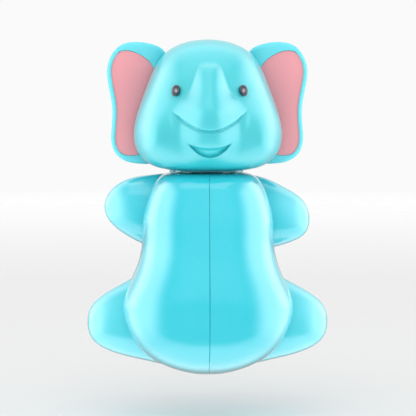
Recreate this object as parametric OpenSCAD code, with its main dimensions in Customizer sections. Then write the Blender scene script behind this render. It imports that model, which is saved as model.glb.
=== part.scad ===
// Toothbrush cover shaped as a sitting elephant. A fixed head and a rear frame carry two hinged
// doors, each with an arm and a leg. A brush pushed back against the fingers shuts the doors
// round its neck, and a suction cup holds the cover to a wall.
// The front is -Y and up is +Z. The origin is the centre of the cup's lip, on the wall.

/* [Body] */
// Height of the body, from its underside to the top of the doors
body_h = 46.8; // [44:0.2:52]
// Width of the body at the belly, where it is widest
belly_w = 39.5; // [37:0.5:44]
// Width of the body at the waist, under the arms
waist_w = 30.4; // [28.5:0.5:34]
// Width of the body just under the rounded shoulders
shoulder_w = 24.8; // [24:0.2:28]
// Distance from the wall to the front of the belly
belly_reach = 35.5; // [34:0.5:40]
// Distance from the wall to the front of the chest
chest_reach = 33; // [32:0.5:37]
// Distance from the wall to the back of the body and of the head
back_gap = 8.6; // [8.2:0.2:11]
// Height of the suction cup's centre above the underside of the body
cup_rise = 33.7; // [30:0.5:38]

/* [Head] */
// Gap between the doors and the head
neck_gap = 0.7; // [0.5:0.1:1.5]
// Height of the head
head_h = 30; // [28:0.5:34]
// Width of the head at the cheeks
cheek_w = 34.3; // [32:0.5:38]
// Width of the head at the eyes
brow_w = 28.6; // [27:0.5:32]
// Distance from the wall to the front of the face, without the trunk
face_reach = 34; // [32:0.5:38]
// How far the trunk stands out of the face at its lower lip
trunk_reach = 5; // [3:0.25:7]
// Width of the trunk between the eyes
trunk_w = 8.6; // [7:0.2:10]
// Width of the trunk where it flares at its lower lip
trunk_flare = 15.6; // [13:0.2:18]
// Depth of the smiling mouth
mouth_depth = 1.6; // [1:0.1:2]
// Distance between the two eyes
eye_gap = 15.2; // [13:0.2:18]
// Width of an eye
eye_w = 2; // [1.6:0.1:2.6]
// Height of an eye
eye_h = 2.6; // [2.2:0.1:3.4]

/* [Ears] */
// Width of an ear, with the root that lies in the head
ear_w = 14.3; // [13:0.1:17]
// Height of an ear
ear_h = 28.4; // [26:0.2:30]
// How far an ear stands out past the cheek
ear_out = 6.2; // [5:0.1:8]
// Thickness of an ear
ear_t = 3.4; // [2.8:0.2:4.4]
// Thickness of the pink lining in an ear
lining_t = 0.7; // [0.5:0.1:1]
// Distance from the wall to the middle of an ear's root
ear_reach = 14.9; // [14:0.1:17]

/* [Limbs] */
// Distance from the middle of the body to the tip of an arm
arm_span = 23.9; // [22:0.2:26]
// Diameter of the raised arm's tip
raised_tip_d = 12.2; // [10:0.2:13]
// Height of the raised arm's tip over the cup's centre
raised_tip_z = 5.9; // [4:0.2:6.4]
// Diameter of the lowered arm's tip
lowered_tip_d = 10.6; // [9:0.2:12]
// Height of the lowered arm's tip over the cup's centre
lowered_tip_z = 2.2; // [0:0.2:4]
// Diameter of an arm where it leaves the body
arm_root_d = 18; // [16:0.2:18.6]
// Thickness of an arm from front to back
arm_t = 9; // [7:0.5:10]
// Distance from the wall to the middle of an arm
arm_reach = 16.8; // [16:0.2:20]
// Distance from the middle of the body to the tip of a leg
leg_span = 28; // [26:0.5:31]
// Diameter of a leg's tip
leg_tip_d = 12.8; // [11:0.2:14]
// Height of a leg's tip over the underside of the body
leg_tip_rise = 12.2; // [10:0.2:14]
// Diameter of a leg where it leaves the body
leg_root_d = 22; // [20:0.5:23]
// Thickness of a leg from front to back
leg_t = 11; // [9:0.5:13]
// Distance from the wall to the middle of a leg
leg_reach = 19.5; // [18:0.5:23]

/* [Walls] */
// Wall of the moulded skins
wall = 1.5; // [1.2:0.1:1.8]
// Wall of the door liners
liner_wall = 1.2; // [1:0.1:1.5]
// Thickness of the web that closes a door skin where the doors meet
web = 1.4; // [1:0.1:2]
// Gap between the two doors where they meet
split_gap = 0.3; // [0.2:0.05:0.6]
// Clearance between pieces that are fitted together
fit = 0.3; // [0.2:0.05:0.4]

/* [Hinges] */
// Distance between the two hinge pins
hinge_pitch = 13; // [12.4:0.1:14]
// Diameter of a hinge pin
pin_d = 2; // [1.6:0.1:2.4]
// Diameter of a hinge barrel
barrel_d = 4.4; // [4:0.1:4.8]
// Clearance all round a hinge pin in its barrel
pin_play = 0.05; // [0.03:0.01:0.1]
// Thickness of the foot that holds the pins' lower ends
foot_t = 2; // [1.6:0.1:3]
// Height of the foot's underside over the underside of the body
foot_rise = 5.5; // [5:0.1:7]
// Thickness of the frame's neck plate, which holds the pins' upper ends
neck_plate_t = 2.2; // [1.8:0.1:3]
// Distance between a moving face and a fixed one
run_gap = 0.4; // [0.3:0.05:0.6]

/* [Fingers] */
// Height of one finger that the brush pushes
finger_h = 4.6; // [3.5:0.1:4.8]
// Thickness of a finger
finger_t = 1.5; // [1.2:0.1:1.8]
// Height of the lowest finger under the cup's centre
finger_drop = 12.8; // [12:0.2:14]

/* [Brush chamber] */
// Width inside the brush chamber
chamber_w = 16.4; // [15:0.2:16.8]
// Distance from the wall to the front of the inside of the chamber
chamber_reach = 27.6; // [26:0.2:28]
// Radius of the chamber's front corners
chamber_corner = 2; // [1:0.2:3]
// Distance from the top of the doors down to the top of the chamber
chamber_drop = 5; // [4:0.2:7]

/* [Brush opening] */
// Diameter of the hole for the brush's neck
neck_hole_d = 9.2; // [7:0.2:11]
// Distance from the wall to the middle of the neck hole
neck_hole_reach = 20; // [19:0.5:22]
// Wall of the tube that guides the neck
guide_wall = 1.3; // [1:0.1:1.6]

/* [Frame] */
// Width of the frame's upright between the hinge barrels
upright_w = 8; // [6:0.1:8]
// Thickness of the upright
upright_t = 2; // [1.6:0.1:2.2]
// Number of air slots through the upright
slot_count = 4; // [2:1:5]
// Height of one air slot
slot_h = 1.4; // [1:0.1:1.6]
// Width of one air slot
slot_w = 5; // [3:0.1:5.4]
// Distance from one air slot to the next
slot_pitch = 2.8; // [2.4:0.1:3]
// Width of the tongue that stands up into the head
tongue_w = 9; // [7:0.2:11]
// Thickness of the tongue
tongue_t = 1.8; // [1.4:0.1:2.2]
// Height of the tongue over the neck plate
tongue_h = 9; // [8:0.2:10]

/* [Suction cup] */
// Diameter of the cup
cup_d = 28; // [25:0.5:30]
// Width of the flat lip that meets the wall
lip_w = 0.8; // [0.5:0.1:1.2]
// Thickness of the cup at its rim
cup_rim_t = 0.7; // [0.5:0.1:0.9]
// Depth of the cup's outer dome
cup_depth = 3.9; // [3.5:0.1:4.2]
// Diameter of the cup's neck in the keyhole
cup_neck_d = 4.4; // [4:0.1:4.8]
// Diameter of the knob behind the keyhole
knob_d = 7.4; // [7:0.1:8]
// Thickness of the knob
knob_t = 1.5; // [1.2:0.1:1.8]
// Thickness of the socket's wall with the keyhole
keyhole_wall = 1.3; // [1:0.1:1.4]
// Length of the pull tab past the cup's rim
tab_out = 2.6; // [1.6:0.2:4]
// Width of the pull tab
tab_w = 5; // [4:0.2:7]

/* [Screws] */
// Diameter of a screw's shank
screw_d = 1.8; // [1.6:0.1:2]
// Length of a screw's shank
screw_l = 9; // [7:0.5:11]
// Diameter of a screw's head
screw_head_d = 3.8; // [3.4:0.1:4]
// Height of a screw's head
screw_head_h = 1.3; // [1:0.1:1.5]
// Diameter of a screw post in the head
post_d = 4.2; // [3.8:0.1:4.6]
// Distance between the two upper screws
screw_pitch = 11; // [9:0.2:12]

/* [Hidden] */
shell_blue = [0.36, 0.82, 0.89];
liner_blue = [0.42, 0.86, 0.92];
lining_pink = [0.93, 0.64, 0.68];
eye_grey = [0.2, 0.2, 0.24];
cup_clear = [0.86, 0.93, 0.95];
steel = [0.72, 0.73, 0.75];
LEFT = -1;
RIGHT = 1;

// Heights over the cup's centre
body_base = -cup_rise;
door_top = body_base + body_h;
head_base = door_top + neck_gap;
head_top = head_base + head_h;
foot_base = body_base + foot_rise;
foot_top = foot_base + foot_t;
liner_base = foot_top + run_gap;
liner_top = door_top - chamber_drop;
plate_top = head_base + neck_plate_t;
eye_z = head_base + 0.61 * head_h;
lip_rise = 0.113 * head_h;
trunk_sink = 0.8;
mouth_z = head_base + 0.15 * head_h;
mouth_corner_z = head_base + 0.22 * head_h;
mouth_sag = 3.5;
lip_sag = 1.2;
eye_t = 1.6;
// How far the cut of the smile runs forward from its floor
smile_cut = 8;
// Gap all round an eye in its dimple
eye_fit = 0.1;

// Hinge line
hinge_x = hinge_pitch / 2;
barrel_r = barrel_d / 2;
hinge_y = -(back_gap + barrel_r);
barrel_front = back_gap + barrel_d;
// Plastic left over the pins' upper ends in the neck plate
pin_cover = 0.6;
pin_top = plate_top - pin_cover;
upright_front = back_gap + upright_t;
finger_back = upright_front + run_gap;
// Gap over and under a finger, between the fingers of the other door
finger_gap = 0.6;
finger_pitch = finger_h + finger_gap;
pin_head_d = 1.5 * pin_d;
pin_head_h = 0.8;
// How far the neck plate reaches out past the hinge barrels
plate_lip = 2;
plate_front = barrel_front + plate_lip;
chamber_back = back_gap + wall + fit + liner_wall;

// Depths in the head, as distances from the wall
// How far the seam of the head lies behind the middle of the ears' roots
seam_offset = 0.4;
seam_reach = ear_reach - seam_offset;
// How deep the screws' heads lie in the rear shell
screw_sunk = 0.2;
well_front = back_gap + screw_sunk + screw_head_h + wall;
// Gap between faces that a screw or the cup's knob draws together
seat_gap = 0.1;
tongue_back = well_front + seat_gap;
tongue_front = tongue_back + tongue_t;
upper_screw_z = head_base + 0.74 * head_h;
lower_screw_z = plate_top + 0.56 * tongue_h;
screw_back = back_gap + screw_sunk;
well_floor = screw_back + screw_head_h;
screw_tip = well_floor + screw_l;

// Socket for the suction cup, as distances from the wall
// Room between the cup's dome and the socket
cup_room = 0.9;
socket_back = cup_depth + cup_room;
pocket_back = socket_back + keyhole_wall;
knob_reach = pocket_back + seat_gap;
// How far the knob's pocket ends behind the upright
pocket_inset = 0.6;
pocket_front = back_gap - pocket_inset;
cup_mid_t = 1.3;
// Wall of the socket beside the knob, and how far the keyhole's round end lies past the knob
socket_rim = 1.7;
socket_w = knob_d + 2 * socket_rim;
keyhole_run = 0.9;
socket_drop = knob_d + keyhole_run;
slot_z = (foot_top - socket_drop - socket_w / 2 - (slot_count - 1) * slot_pitch - slot_h) / 2;

// Superellipse powers of the sections: rounder in front and squarer behind
front_power = 2.5;
back_power = 4;

// Facets of the moulded forms
body_sides = 40;
head_sides = 48;
inside_sides = 28;
limb_fn = 24;
trunk_sides = 14;

// Body sections: height share, half width, front and back as distances from the wall
belly_r = belly_w / 2;
waist_r = waist_w / 2;
shoulder_r = shoulder_w / 2;
base_mid = 21;
// How far the front draws back at the very top of the shoulders, and the back at the crown
shoulder_round = 5.4;
crown_round = 7.4;
body_stations = [
    [0, 0.06 * belly_r, base_mid + 1.2, base_mid - 1.2],
    [0.011, 0.22 * belly_r, base_mid + 4.2, base_mid - 4],
    [0.04, 0.45 * belly_r, base_mid + 0.56 * (belly_reach - base_mid), back_gap + 4.6],
    [0.093, 0.69 * belly_r, base_mid + 0.78 * (belly_reach - base_mid), back_gap + 2.2],
    [0.169, 0.872 * belly_r, base_mid + 0.92 * (belly_reach - base_mid), back_gap + 0.7],
    [0.262, 0.975 * belly_r, belly_reach - 0.2, back_gap + 0.1],
    [0.355, belly_r, belly_reach, back_gap],
    [0.457, waist_r + 0.62 * (belly_r - waist_r), belly_reach - 0.5, back_gap],
    [0.549, waist_r + 0.22 * (belly_r - waist_r), belly_reach - 1.3, back_gap],
    [0.66, waist_r, chest_reach + 0.5, back_gap],
    [0.78, 0.985 * waist_r, chest_reach, back_gap],
    [0.88, shoulder_r + 0.52 * (waist_r - shoulder_r), chest_reach - 0.5, back_gap],
    [0.951, shoulder_r, chest_reach - 1.3, back_gap],
    [0.985, 0.87 * shoulder_r, chest_reach - 2.9, back_gap],
    [1, 0.68 * shoulder_r, chest_reach - shoulder_round, back_gap],
];

// Head sections, in the same form
cheek_r = cheek_w / 2;
brow_r = brow_w / 2;
mouth_half = 0.3 * cheek_r;
crown_mid = 20;
head_stations = [
    [0, 0.5 * cheek_r, face_reach - 6.6, back_gap + 0.8],
    [0.012, 0.62 * cheek_r, face_reach - 4.9, back_gap + 0.4],
    [0.04, 0.765 * cheek_r, face_reach - 3.2, back_gap],
    [0.095, 0.89 * cheek_r, face_reach - 1.7, back_gap],
    [0.175, 0.974 * cheek_r, face_reach - 0.7, back_gap],
    [0.277, cheek_r, face_reach - 0.2, back_gap],
    [0.44, brow_r + 0.67 * (cheek_r - brow_r), face_reach, back_gap],
    [0.62, brow_r, face_reach - 0.6, back_gap],
    [0.783, 0.857 * brow_r, crown_mid + 0.85 * (face_reach - crown_mid), back_gap + 0.7],
    [0.893, 0.697 * brow_r, crown_mid + 0.68 * (face_reach - crown_mid), back_gap + 2.4],
    [0.953, 0.5 * brow_r, crown_mid + 0.5 * (face_reach - crown_mid), back_gap + 4.6],
    [0.986, 0.29 * brow_r, crown_mid + 0.29 * (face_reach - crown_mid), back_gap + crown_round],
    [1, 0.07 * brow_r, crown_mid + 1, crown_mid - 1],
];

// Trunk and muzzle sections, from the chin up to the brow: height share, half width, share of the
// trunk's reach, and how much of the lip's bend the section has
trunk_r = trunk_w / 2;
flare_r = trunk_flare / 2;
lip_share = 0.31;
trunk_stations = [
    [0.05, 0.42 * flare_r, -0.12, 1],
    [0.09, 0.56 * flare_r, 0.22, 1],
    [0.16, 0.74 * flare_r, 0.48, 1],
    [0.24, 0.9 * flare_r, 0.66, 1],
    [lip_share - 0.012, 0.97 * flare_r, 0.74, 1],
    [lip_share, flare_r, 0.9, 1],
    [lip_share + 0.05, 0.97 * flare_r, 0.98, 0.85],
    [0.42, 0.87 * flare_r, 1, 0.66],
    [0.485, 1.27 * trunk_r, 0.93, 0.45],
    [0.56, 1.1 * trunk_r, 0.8, 0.2],
    [0.64, trunk_r, 0.6, 0],
    [0.73, 0.84 * trunk_r, 0.34, 0],
    [0.79, 0.7 * trunk_r, 0.12, 0],
    [0.83, 0.5 * trunk_r, -0.1, 0],
];
mouth_share = 0.42;

// Ear outline as shares of its width and height, from the root's top round the outside
ear_outline = [
    [0.02, 0.91], [0.25, 0.98], [0.56, 1], [0.81, 0.965], [0.965, 0.85], [1, 0.73],
    [0.945, 0.58], [0.905, 0.455], [0.915, 0.32], [0.935, 0.195], [0.865, 0.085],
    [0.685, 0.018], [0.43, 0], [0.17, 0.012], [0.06, 0.18], [0.01, 0.45], [0, 0.7],
];
lining_outline = [
    [0.25, 0.81], [0.46, 0.895], [0.68, 0.93], [0.825, 0.905], [0.91, 0.835], [0.935, 0.74],
    [0.89, 0.61], [0.84, 0.475], [0.855, 0.32], [0.88, 0.2], [0.83, 0.12], [0.71, 0.072],
    [0.46, 0.075], [0.34, 0.16], [0.36, 0.31], [0.31, 0.49], [0.22, 0.67],
];
// How far an ear leans forward for each millimetre outwards
ear_lean = 0.12;
// Height of the ears' lower edge over the head's
ear_rise = 1.2;
ear_base = head_base + ear_rise;
// How deep a lining's face lies in its ear, with the gaps behind it and all round it
lining_sunk = 0.25;
lining_play = 0.05;
lining_gap = 0.1;
ear_root_x = cheek_r + ear_out - ear_w;

function mix(a, b, t) = a + (b - a) * t;

// Smooth curve through four neighbours, from the second to the third
function curve(a, b, c, d, t) =
    b + 0.5 * t * (c - a + t * (2 * a - 5 * b + 4 * c - d + t * (3 * (b - c) + d - a)));

function open_curve(row, steps) = let (last = len(row) - 1) [
    for (i = [0 : last - 1], k = [0 : steps - 1])
        curve(row[max(i - 1, 0)], row[i], row[i + 1], row[min(i + 2, last)], k / steps),
    row[last],
];

function closed_curve(row, steps) = let (n = len(row)) [
    for (i = [0 : n - 1], k = [0 : steps - 1])
        curve(row[(i + n - 1) % n], row[i], row[(i + 1) % n], row[(i + 2) % n], k / steps),
];

// Solid skinned over rings of points, each ring counter-clockwise as seen from the last one
module loft(rings) {
    n = len(rings[0]);
    count = len(rings);
    points = concat(
        [for (ring = rings, p = ring) p],
        [middle(rings[0]), middle(rings[count - 1])]
    );
    low = n * count;
    sides = [
        for (j = [0 : count - 2], i = [0 : n - 1], half = [0, 1])
            let (a = j * n + i, b = j * n + (i + 1) % n, c = b + n, d = a + n)
            half == 0 ? [a, c, b] : [a, d, c]
    ];
    ends = [
        for (i = [0 : n - 1], top = [0, 1])
            let (a = top * (low - n) + i, b = top * (low - n) + (i + 1) % n)
            top == 0 ? [low, a, b] : [low + 1, b, a]
    ];
    polyhedron(points = points, faces = concat(sides, ends), convexity = 8);
}

function total(row, i = 0) = i == len(row) - 1 ? row[i] : row[i] + total(row, i + 1);
function middle(ring) = total(ring) / len(ring);

// Distance from a section's middle to its edge, in the direction a, counted from the front
function section_edge(half, front, back, a) =
    let (
        power = cos(a) > 0 ? front_power : back_power,
        depth = cos(a) > 0 ? front : back
    )
    pow(pow(abs(sin(a)) / half, power) + pow(abs(cos(a)) / depth, power), -1 / power);

// Rings of a form. spec is its base, height, middle, half width, front and back at the widest,
// and inset is how far it is drawn in.
function form_rings(stations, spec, inset, steps, sides) =
    let (
        keep_w = 1 - inset / spec[3],
        keep_f = 1 - inset / (spec[4] - spec[2]),
        keep_b = 1 - inset / (spec[2] - spec[5])
    )
    [for (s = open_curve(stations, steps)) [
        for (i = [0 : sides - 1])
            let (
                a = 360 * i / sides,
                edge = section_edge(
                    s[1] * keep_w, (s[2] - spec[2]) * keep_f, (spec[2] - s[3]) * keep_b, a
                ),
                z = spec[0] + inset + s[0] * (spec[1] - 2 * inset)
            )
            [edge * sin(a), -(spec[2] + edge * cos(a)), z]
    ]];

body_spec = [body_base, body_h, base_mid, belly_r, belly_reach, back_gap];
head_spec = [head_base, head_h, crown_mid, cheek_r, face_reach, back_gap];

module body_form() {
    loft(form_rings(body_stations, body_spec, 0, 2, body_sides));
}

module body_inside(inset) {
    loft(form_rings(body_stations, body_spec, inset, 1, inside_sides));
}

module head_form() {
    loft(form_rings(head_stations, head_spec, 0, 2, head_sides));
}

module head_inside(inset) {
    loft(form_rings(head_stations, head_spec, inset, 1, inside_sides));
}

// Distance from the wall to the surface of the face
function face_at(x, z) =
    let (
        s = (z - head_base) / head_h,
        half = lookup(s, [for (row = head_stations) [row[0], row[1]]]),
        front = lookup(s, [for (row = head_stations) [row[0], row[2]]])
    )
    crown_mid + (front - crown_mid) * pow(1 - pow(abs(x) / half, front_power), 1 / front_power);

// One section of the trunk, bent like the lip and sunk into the face at its edges
function trunk_ring(s) =
    [for (k = [0 : trunk_sides])
        let (
            a = 180 * k / trunk_sides - 90,
            x = s[1] * sin(a),
            z = head_base + s[0] * head_h + s[3] * lip_rise * pow(x / flare_r, 2),
            stand = (s[2] * trunk_reach + trunk_sink) * pow(cos(a), 0.8) - trunk_sink
        )
        [x, -(face_at(x, z) + stand), z]];

module trunk() {
    loft([for (s = trunk_stations) trunk_ring(s)]);
}

module ellipsoid(w, d, h, n = 12) {
    loft([
        for (j = [1 : n / 2 - 1])
            let (a = 180 * j / (n / 2) - 90)
            [for (i = [0 : n - 1])
                [w / 2 * cos(a) * cos(360 * i / n), d / 2 * cos(a) * sin(360 * i / n), h / 2 * sin(a)]]
    ]);
}

// Box that reaches from one distance from the wall to another, centred on the width
module block(w, near, far, low, high) {
    translate([-w / 2, -far, low]) cube([w, far - near, high - low]);
}

// Round bar along Y, from one distance from the wall to another
module bar(d, near, far) {
    translate([0, -near, 0]) rotate([90, 0, 0]) cylinder(d = d, h = far - near);
}

// Everything on one side of the middle, from a distance off it outwards
module half_space(off = 0) {
    reach = body_h + head_h;
    translate([off, -reach, -reach]) cube([reach, reach, 2 * reach]);
}

module on_side(side) {
    if (side == RIGHT) children();
    else mirror([1, 0, 0]) children();
}

// Spine frame: upright between the hinges, foot, neck plate, tongue and cup socket
module pin_holes(low, high) {
    for (side = [LEFT, RIGHT])
        translate([side * hinge_x, hinge_y, low]) cylinder(d = pin_d, h = high - low);
}

module keyhole(grow, low, high) {
    translate([0, 0, -socket_drop]) bar(knob_d + 2 * fit + grow, low, high);
    bar(cup_neck_d + grow, low, high);
    block(cup_neck_d - fit + grow, low, high, -socket_drop, 0);
}

module spine_frame() {
    color(shell_blue) difference() {
        union() {
            block(upright_w, back_gap, upright_front, foot_base, plate_top);
            block(hinge_pitch + barrel_d, back_gap, barrel_front, foot_base, foot_top);
            block(hinge_pitch + barrel_d, back_gap, plate_front, head_base, plate_top);
            block(tongue_w, tongue_back, tongue_front, plate_top, plate_top + tongue_h);
            block(socket_w, socket_back, back_gap, -socket_drop - socket_w / 2, socket_w / 2);
        }
        block(knob_d + 2 * fit, pocket_back, pocket_front, -socket_drop - knob_d / 2 - fit,
            knob_d / 2 + fit);
        keyhole(0, 0, pocket_back + 0.2);
        pin_holes(foot_base - 1, foot_top + 1);
        pin_holes(head_base - 1, pin_top);
        translate([0, 0, lower_screw_z]) bar(screw_d + 2 * fit, 0, tongue_front + 1);
        for (i = [0 : slot_count - 1])
            block(slot_w, 0, upright_front + 1, slot_z + i * slot_pitch,
                slot_z + i * slot_pitch + slot_h);
    }
}

// Head: a front and a rear shell that meet at the ears and close over the frame's neck plate
module screw_places() {
    for (x = [-screw_pitch / 2, screw_pitch / 2]) translate([x, 0, upper_screw_z]) children();
    translate([0, 0, lower_screw_z]) children();
}

module head_room() {
    block(hinge_pitch + barrel_d + 2 * fit, 0, plate_front + fit, head_base - 1, plate_top + fit);
    for (side = [LEFT, RIGHT]) on_side(side) ear_slab(ear_outline, -ear_t / 2, ear_t / 2, 1, fit);
}

module head_front() {
    color(shell_blue) difference() {
        union() {
            difference() {
                union() {
                    head_form();
                    trunk();
                }
                head_inside(wall);
                block(3 * cheek_w, 0, seam_reach, head_base - 1, head_top + 1);
            }
            intersection() {
                union() {
                    for (x = [-screw_pitch / 2, screw_pitch / 2])
                        translate([x, 0, upper_screw_z]) bar(post_d, well_front, face_reach);
                    translate([0, 0, lower_screw_z])
                        bar(post_d, tongue_front + seat_gap, face_reach);
                }
                head_inside(wall / 2);
            }
        }
        screw_places() bar(screw_d, 0, screw_tip);
        head_room();
        mouth_cut();
        for (side = [LEFT, RIGHT]) on_side(side) eye_form(eye_fit);
    }
}

module head_rear() {
    color(shell_blue) difference() {
        union() {
            intersection() {
                difference() {
                    head_form();
                    head_inside(wall);
                }
                block(3 * cheek_w, 0, seam_reach, head_base - 1, head_top + 1);
            }
            screw_places() bar(screw_head_d + 2 * fit + 2 * wall, back_gap + wall / 2, well_front);
        }
        screw_places() bar(screw_head_d + 2 * fit, 0, well_floor);
        screw_places() bar(screw_d + fit, 0, well_front + 1);
        head_room();
    }
}

// The smile, a crescent between two arcs through its corners
module mouth_cut() {
    lower_r = (pow(mouth_half, 2) + pow(mouth_sag, 2)) / (2 * mouth_sag);
    upper_r = (pow(mouth_half, 2) + pow(lip_sag, 2)) / (2 * lip_sag);
    floor_reach = face_at(0, mouth_z) + mouth_share * trunk_reach - mouth_depth;
    translate([0, -floor_reach, mouth_corner_z]) rotate([90, 0, 0]) linear_extrude(smile_cut)
        difference() {
            translate([0, lower_r - mouth_sag]) circle(r = lower_r, $fn = 64);
            translate([0, upper_r - lip_sag]) circle(r = upper_r, $fn = 64);
        }
}

module eye_form(grow) {
    translate([eye_gap / 2, -face_at(eye_gap / 2, eye_z), eye_z])
        ellipsoid(eye_w + 2 * grow, eye_t + 2 * grow, eye_h + 2 * grow);
}

module eye(side) {
    color(eye_grey) on_side(side) eye_form(0);
}

module head_screws() {
    color(steel) screw_places() difference() {
        union() {
            bar(screw_head_d, screw_back, well_floor);
            bar(screw_d, screw_back, screw_tip);
        }
        for (turn = [0, 90]) rotate([0, turn, 0])
            block(0.6 * screw_head_d, 0, screw_back + 0.6 * screw_head_h, -0.25, 0.25);
    }
}

// Ears: leaning plates with a rounded rim, and a lining in a shallow recess
function ear_place(p, reach) =
    [ear_root_x + p[0] * ear_w, -(ear_reach + reach + ear_lean * p[0] * ear_w), ear_base + p[1] * ear_h];

function grown(p, mid, grow) =
    let (d = [(p[0] - mid[0]) * ear_w, (p[1] - mid[1]) * ear_h])
    p + grow * [d[0] / ear_w, d[1] / ear_h] / norm(d);

// One layer of an ear: its outline drawn towards its middle and set at a depth
function ear_ring(outline, keep, grow, reach) =
    let (row = closed_curve(outline, 2), mid = middle(row))
    [for (i = [len(row) - 1 : -1 : 0])
        ear_place(grown(mid + keep * (row[i] - mid), mid, grow), reach)];

module ear_slab(outline, back, front, rim, grow) {
    t = front - back + 2 * grow;
    loft([
        ear_ring(outline, rim, grow, back - grow),
        ear_ring(outline, 1, grow, back - grow + 0.3 * t),
        ear_ring(outline, 1, grow, back - grow + 0.7 * t),
        ear_ring(outline, (rim + 1) / 2, grow, front + grow),
    ]);
}

module ear(side) {
    recess = lining_t + lining_sunk + lining_play;
    color(shell_blue) on_side(side) difference() {
        ear_slab(ear_outline, -ear_t / 2, ear_t / 2, 0.92, 0);
        ear_slab(lining_outline, ear_t / 2 - recess, ear_t / 2 + 1, 1, lining_gap);
    }
}

module ear_lining(side) {
    color(lining_pink) on_side(side)
        ear_slab(lining_outline, ear_t / 2 - lining_sunk - lining_t, ear_t / 2 - lining_sunk, 0.98, 0);
}

// Arms and legs: rounded tapers that start inside the body
module limb(root, tip, root_d, tip_d, thick, reach) {
    hull() {
        translate([root[0], -reach, root[1]])
            scale([1, thick / root_d, 1]) sphere(d = root_d, $fn = limb_fn);
        translate([tip[0], -reach, tip[1]])
            scale([1, 0.9 * thick / tip_d, 1]) sphere(d = tip_d, $fn = limb_fn);
    }
}

module arm(side) {
    tip_d = side == LEFT ? raised_tip_d : lowered_tip_d;
    tip_z = side == LEFT ? raised_tip_z : lowered_tip_z;
    limb([waist_r - 0.4 * arm_root_d, door_top - 0.52 * arm_root_d], [arm_span - tip_d / 2, tip_z],
        arm_root_d, tip_d, arm_t, arm_reach);
}

module leg() {
    limb([belly_r - 0.44 * leg_root_d, body_base + 0.58 * leg_root_d],
        [leg_span - leg_tip_d / 2, body_base + leg_tip_rise],
        leg_root_d, leg_tip_d, leg_t, leg_reach);
}

// Doors: an outer skin with its arm and leg, and a liner with the hinge barrel and fingers
module chamber(grow, low, high) {
    half = chamber_w / 2 + grow;
    front = chamber_reach + grow;
    r = chamber_corner + grow;
    corner = [for (k = [0 : 6]) [half - r + r * cos(15 * k), -(front - r + r * sin(15 * k))]];
    outline = concat([[half, -(chamber_back - grow)]], corner,
        [for (i = [6 : -1 : 0]) [-corner[i][0], corner[i][1]]], [[-half, -(chamber_back - grow)]]);
    translate([0, 0, low]) linear_extrude(high - low) polygon(outline);
}

module door_skin(side) {
    color(shell_blue) on_side(side) difference() {
        union() {
            intersection() {
                body_form();
                half_space(split_gap / 2);
            }
            arm(side);
            leg();
        }
        difference() {
            intersection() {
                body_inside(wall);
                half_space(split_gap / 2 + web);
            }
            translate([0, -neck_hole_reach, body_base])
                cylinder(d = neck_hole_d + 2 * guide_wall, h = liner_base - fit - body_base);
        }
        chamber(liner_wall + fit, liner_base - fit, liner_top + fit);
        translate([0, -neck_hole_reach, body_base - 1])
            cylinder(d = neck_hole_d, h = liner_base - body_base + 1);
        block(hinge_pitch + barrel_d + 2 * fit, 0, barrel_front + fit, body_base - 1, door_top + 1);
        translate([hinge_x, hinge_y, body_base - 1])
            cylinder(r = norm([barrel_r, barrel_r]) + run_gap, h = foot_top + run_gap - body_base + 1);
    }
}

module finger(low) {
    length = hinge_pitch - barrel_r - 2 * run_gap;
    translate([hinge_x - length, -finger_back - finger_t, low]) cube([length, finger_t, finger_h]);
}

module door_liner(side) {
    first = side == RIGHT ? 0 : 1;
    color(liner_blue) on_side(side) difference() {
        union() {
            intersection() {
                difference() {
                    chamber(liner_wall, liner_base, liner_top);
                    chamber(0, liner_base - 1, liner_top + 1);
                    block(hinge_pitch, 0, chamber_back + 1, liner_base - 1, liner_top + 1);
                }
                half_space(split_gap / 2);
            }
            translate([hinge_x, -chamber_back, liner_base])
                cube([chamber_w / 2 + liner_wall - hinge_x, liner_wall, liner_top - liner_base]);
            translate([hinge_x, hinge_y, liner_base])
                cylinder(r = barrel_r, h = head_base - run_gap - liner_base);
            for (i = [first : 2 : 3]) finger(i * finger_pitch - finger_drop);
        }
        translate([hinge_x, hinge_y, liner_base - 1])
            cylinder(d = pin_d + 2 * pin_play, h = head_base - liner_base + 1);
    }
}

module hinge_pin(side) {
    color(steel) on_side(side) translate([hinge_x, hinge_y, 0]) {
        translate([0, 0, foot_base]) cylinder(d = pin_d, h = pin_top - foot_base);
        translate([0, 0, foot_base - pin_head_h]) cylinder(d = pin_head_d, h = pin_head_h);
    }
}

// Suction cup: lip, dome, neck in the keyhole and knob behind it, with a pull tab
module suction_cup() {
    r = cup_d / 2;
    inside = r - lip_w;
    neck_r = cup_neck_d / 2;
    hollow = cup_depth - cup_mid_t;
    steps = 8;
    profile = concat(
        [[inside, 0], [r, 0], [r, cup_rim_t]],
        [for (k = [1 : steps]) let (t = k / steps)
            [mix(r, neck_r, t), mix(cup_rim_t, cup_depth, sin(90 * t))]],
        [[neck_r, knob_reach], [knob_d / 2, knob_reach], [knob_d / 2, knob_reach + knob_t],
            [0, knob_reach + knob_t]],
        [for (k = [0 : steps - 1]) let (t = k / steps)
            [inside * t, hollow * (1 - pow(t, 2))]]
    );
    color(cup_clear) {
        rotate([90, 0, 0]) rotate_extrude($fn = 64) polygon(profile);
        block(tab_w, 0.1, cup_rim_t, -r - tab_out, -r + lip_w);
    }
}

spine_frame();
head_front();
head_rear();
ear(LEFT);  // ear_left
ear(RIGHT);  // ear_right
ear_lining(LEFT);  // ear_lining_left
ear_lining(RIGHT);  // ear_lining_right
eye(LEFT);  // eye_left
eye(RIGHT);  // eye_right
door_skin(LEFT);  // door_skin_left
door_skin(RIGHT);  // door_skin_right
door_liner(LEFT);  // door_liner_left
door_liner(RIGHT);  // door_liner_right
hinge_pin(LEFT);  // hinge_pin_left
hinge_pin(RIGHT);  // hinge_pin_right
suction_cup();
head_screws();
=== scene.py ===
import math

import bmesh
import bpy
import numpy as np
from mathutils import Matrix, Vector


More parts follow.
